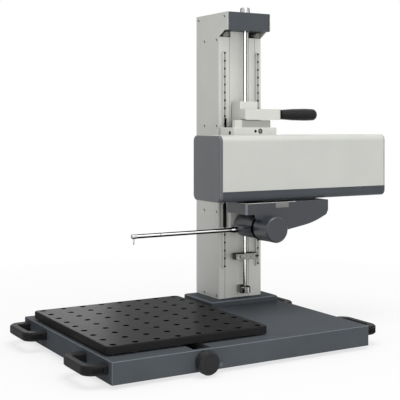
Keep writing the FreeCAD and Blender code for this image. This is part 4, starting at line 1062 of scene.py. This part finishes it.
def make_head_plate():
    """A bare plate on the front of the head."""
    low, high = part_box("head_housing")
    corner = Vector((low.x + PLATE_X, low.y - PLATE_THICKNESS, high.z - PLATE_BOTTOM))
    opposite = Vector((low.x + PLATE_X + PLATE_WIDTH, low.y + SINK, high.z - PLATE_TOP))
    shape = bmesh.new()
    box_with_edges(shape, corner, opposite, PLATE_EDGE)
    shown("head_plate", shape, LABEL_PLATE, "head")


def make_head_highlight_trim():
    """A thin bright trim along the head's upper edge, in front and round its left corner; its brightness is
    partly a painted highlight of that edge.
    """
    low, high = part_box("head_housing")
    corner = Vector((low.x + HIGHLIGHT_TRIM_INSET, low.y - HIGHLIGHT_TRIM_THICKNESS, high.z - HIGHLIGHT_TRIM_HEIGHT))
    opposite = Vector((low.x + HIGHLIGHT_TRIM_INSET + HIGHLIGHT_TRIM_LENGTH, low.y + SINK, high.z - HIGHLIGHT_TRIM_EDGE))
    shape = bmesh.new()
    box_with_edges(shape, corner, opposite, HIGHLIGHT_TRIM_EDGE)
    level = high.z - SIDE_HIGHLIGHT_TRIM_DROP
    side_back = Vector((low.x, low.y + SIDE_HIGHLIGHT_TRIM_LENGTH, level))
    side_front = Vector((low.x, low.y + CHAMFER, level))
    front_left = Vector((low.x + CHAMFER, low.y, level))
    bar(shape, side_back, side_front, LEFT, SIDE_HIGHLIGHT_TRIM_WIDTH, HIGHLIGHT_TRIM_THICKNESS)
    bar(shape, side_front, front_left, (FRONT + LEFT).normalized(), SIDE_HIGHLIGHT_TRIM_WIDTH, HIGHLIGHT_TRIM_THICKNESS)
    shown("head_highlight_trim", shape, FINISHES["machined_alu"], "head")


# Stage and world

AMBIENT_LIGHT = 0.6
WHITE = (1, 1, 1, 1)
PAPER = (0.8, 0.8, 0.8, 1)
PAPER_ROUGHNESS = 0.9
# The floor's share of plain white near the origin, and the distances between which it grows to all
WHITE_SHARE = 0.72
WHITE_START = 0.5
WHITE_FULL = 1.6
FLOOR_SIZE = 30
FLOOR_DROP = 0.2 * MM


def looked_at(tree):
    """1 for what the camera sees by itself, in a reflection or through glass, and 0 for plain light."""
    path = node(tree, "LightPath").outputs
    mirrored = greater(tree, path["Is Camera Ray"], path["Is Glossy Ray"])
    return greater(tree, mirrored, path["Is Transmission Ray"])


def make_stage():
    """A floor that looks white and keeps a part of the object's shadow near it."""
    material, tree, shader = new_material("floor_paper")
    shader.inputs["Base Color"].default_value = PAPER
    shader.inputs["Roughness"].default_value = PAPER_ROUGHNESS
    white = node(tree, "Emission", {"Color": WHITE, "Strength": 1.0}).outputs["Emission"]
    place = node(tree, "TexCoord").outputs["Object"]
    distance = node(tree, "VectorMath", {0: place}, operation="LENGTH").outputs["Value"]
    share = ramped(tree, distance, WHITE_START, WHITE_FULL, WHITE_SHARE, 1.0)
    seen = node(tree, "Math", {0: share, 1: looked_at(tree)}, operation="MULTIPLY").outputs["Value"]
    mix = node(tree, "MixShader", {0: seen, 1: shader.outputs["BSDF"], 2: white})
    tree.links.new(mix.outputs["Shader"], tree.nodes["Material Output"].inputs["Surface"])
    bpy.ops.mesh.primitive_plane_add(size=FLOOR_SIZE, location=(0, 0, -FLOOR_DROP))
    floor = bpy.context.object
    floor.name = "floor"
    floor.data.materials.append(material)


def make_world():
    """Even soft light, and white wherever the camera or a reflection looks past the object."""
    world = bpy.data.worlds.new("studio")
    bpy.context.scene.world = world
    world.use_nodes = True
    tree = world.node_tree
    background = tree.nodes["Background"]
    background.inputs["Color"].default_value = WHITE
    tree.links.new(ramped(tree, looked_at(tree), 0, 1, AMBIENT_LIGHT, 1.0), background.inputs["Strength"])


# Lamps and camera

# The middle of the machine, and the left part of the hole plate, which the sheen lamp makes shine
MACHINE = (0.1, 0, 0.35)
HOLE_PLATE = (-0.25, -0.05, 0.07)
# The camera's place, turn, lens and shift were fitted to the straight edges in the photograph
CAMERA_PLACE = (-1.0849, -1.9466, 0.524)
CAMERA_TURN = math.radians(-31.26)
CAMERA_LENS = 84.47
SENSOR_WIDTH = 36
CAMERA_SHIFT_X = -0.06925
CAMERA_SHIFT_Y = -0.193


def add_lamp(name, place, target, size, power):
    """A square lamp of the given size in metres and power in watts that faces its target."""
    lamp = bpy.data.lights.new(name, "AREA")
    lamp.size = size
    lamp.energy = power
    holder = bpy.data.objects.new(name, lamp)
    holder.location = place
    holder.rotation_euler = (Vector(target) - Vector(place)).to_track_quat("-Z", "Y").to_euler()
    bpy.context.scene.collection.objects.link(holder)


def make_lights():
    """A weak key, the main light from above, a low fill in front, and the shine on the hole plate."""
    add_lamp("key_lamp", place=(1.6, -2.6, 2.6), target=MACHINE, size=2.0, power=12)
    add_lamp("top_lamp", place=(0.0, -0.5, 3.0), target=MACHINE, size=1.8, power=49)
    add_lamp("fill_lamp", place=(-0.6, -3.0, 0.3), target=MACHINE, size=1.6, power=40)
    add_lamp("sheen_lamp", place=(0.84, 2.92, 0.7), target=HOLE_PLATE, size=0.45, power=3.5)


def make_camera():
    """The photograph's camera, which looks level from the front left."""
    camera = bpy.data.cameras.new("camera")
    camera.lens = CAMERA_LENS
    camera.sensor_width = SENSOR_WIDTH
    camera.shift_x = CAMERA_SHIFT_X
    camera.shift_y = CAMERA_SHIFT_Y
    holder = bpy.data.objects.new("camera", camera)
    holder.location = CAMERA_PLACE
    holder.rotation_euler = (math.radians(90), 0, CAMERA_TURN)
    bpy.context.scene.collection.objects.link(holder)
    bpy.context.scene.camera = holder


bpy.context.scene.view_settings.view_transform = "Standard"
finish_nodes()
make_threads()
make_hole_rims()
make_rail_plugs()
make_column_seams()
make_pocket_discs()
make_cover_screws()
make_bridge_screws()
make_rail_wiper()
make_top_screws()
make_stop_screws()
make_foot_set_screw()
make_knob_set_screw()
make_drum_gap_shade()
make_arm_seams()
make_head_plate()
make_head_highlight_trim()
make_stage()
make_world()
make_lights()
make_camera()
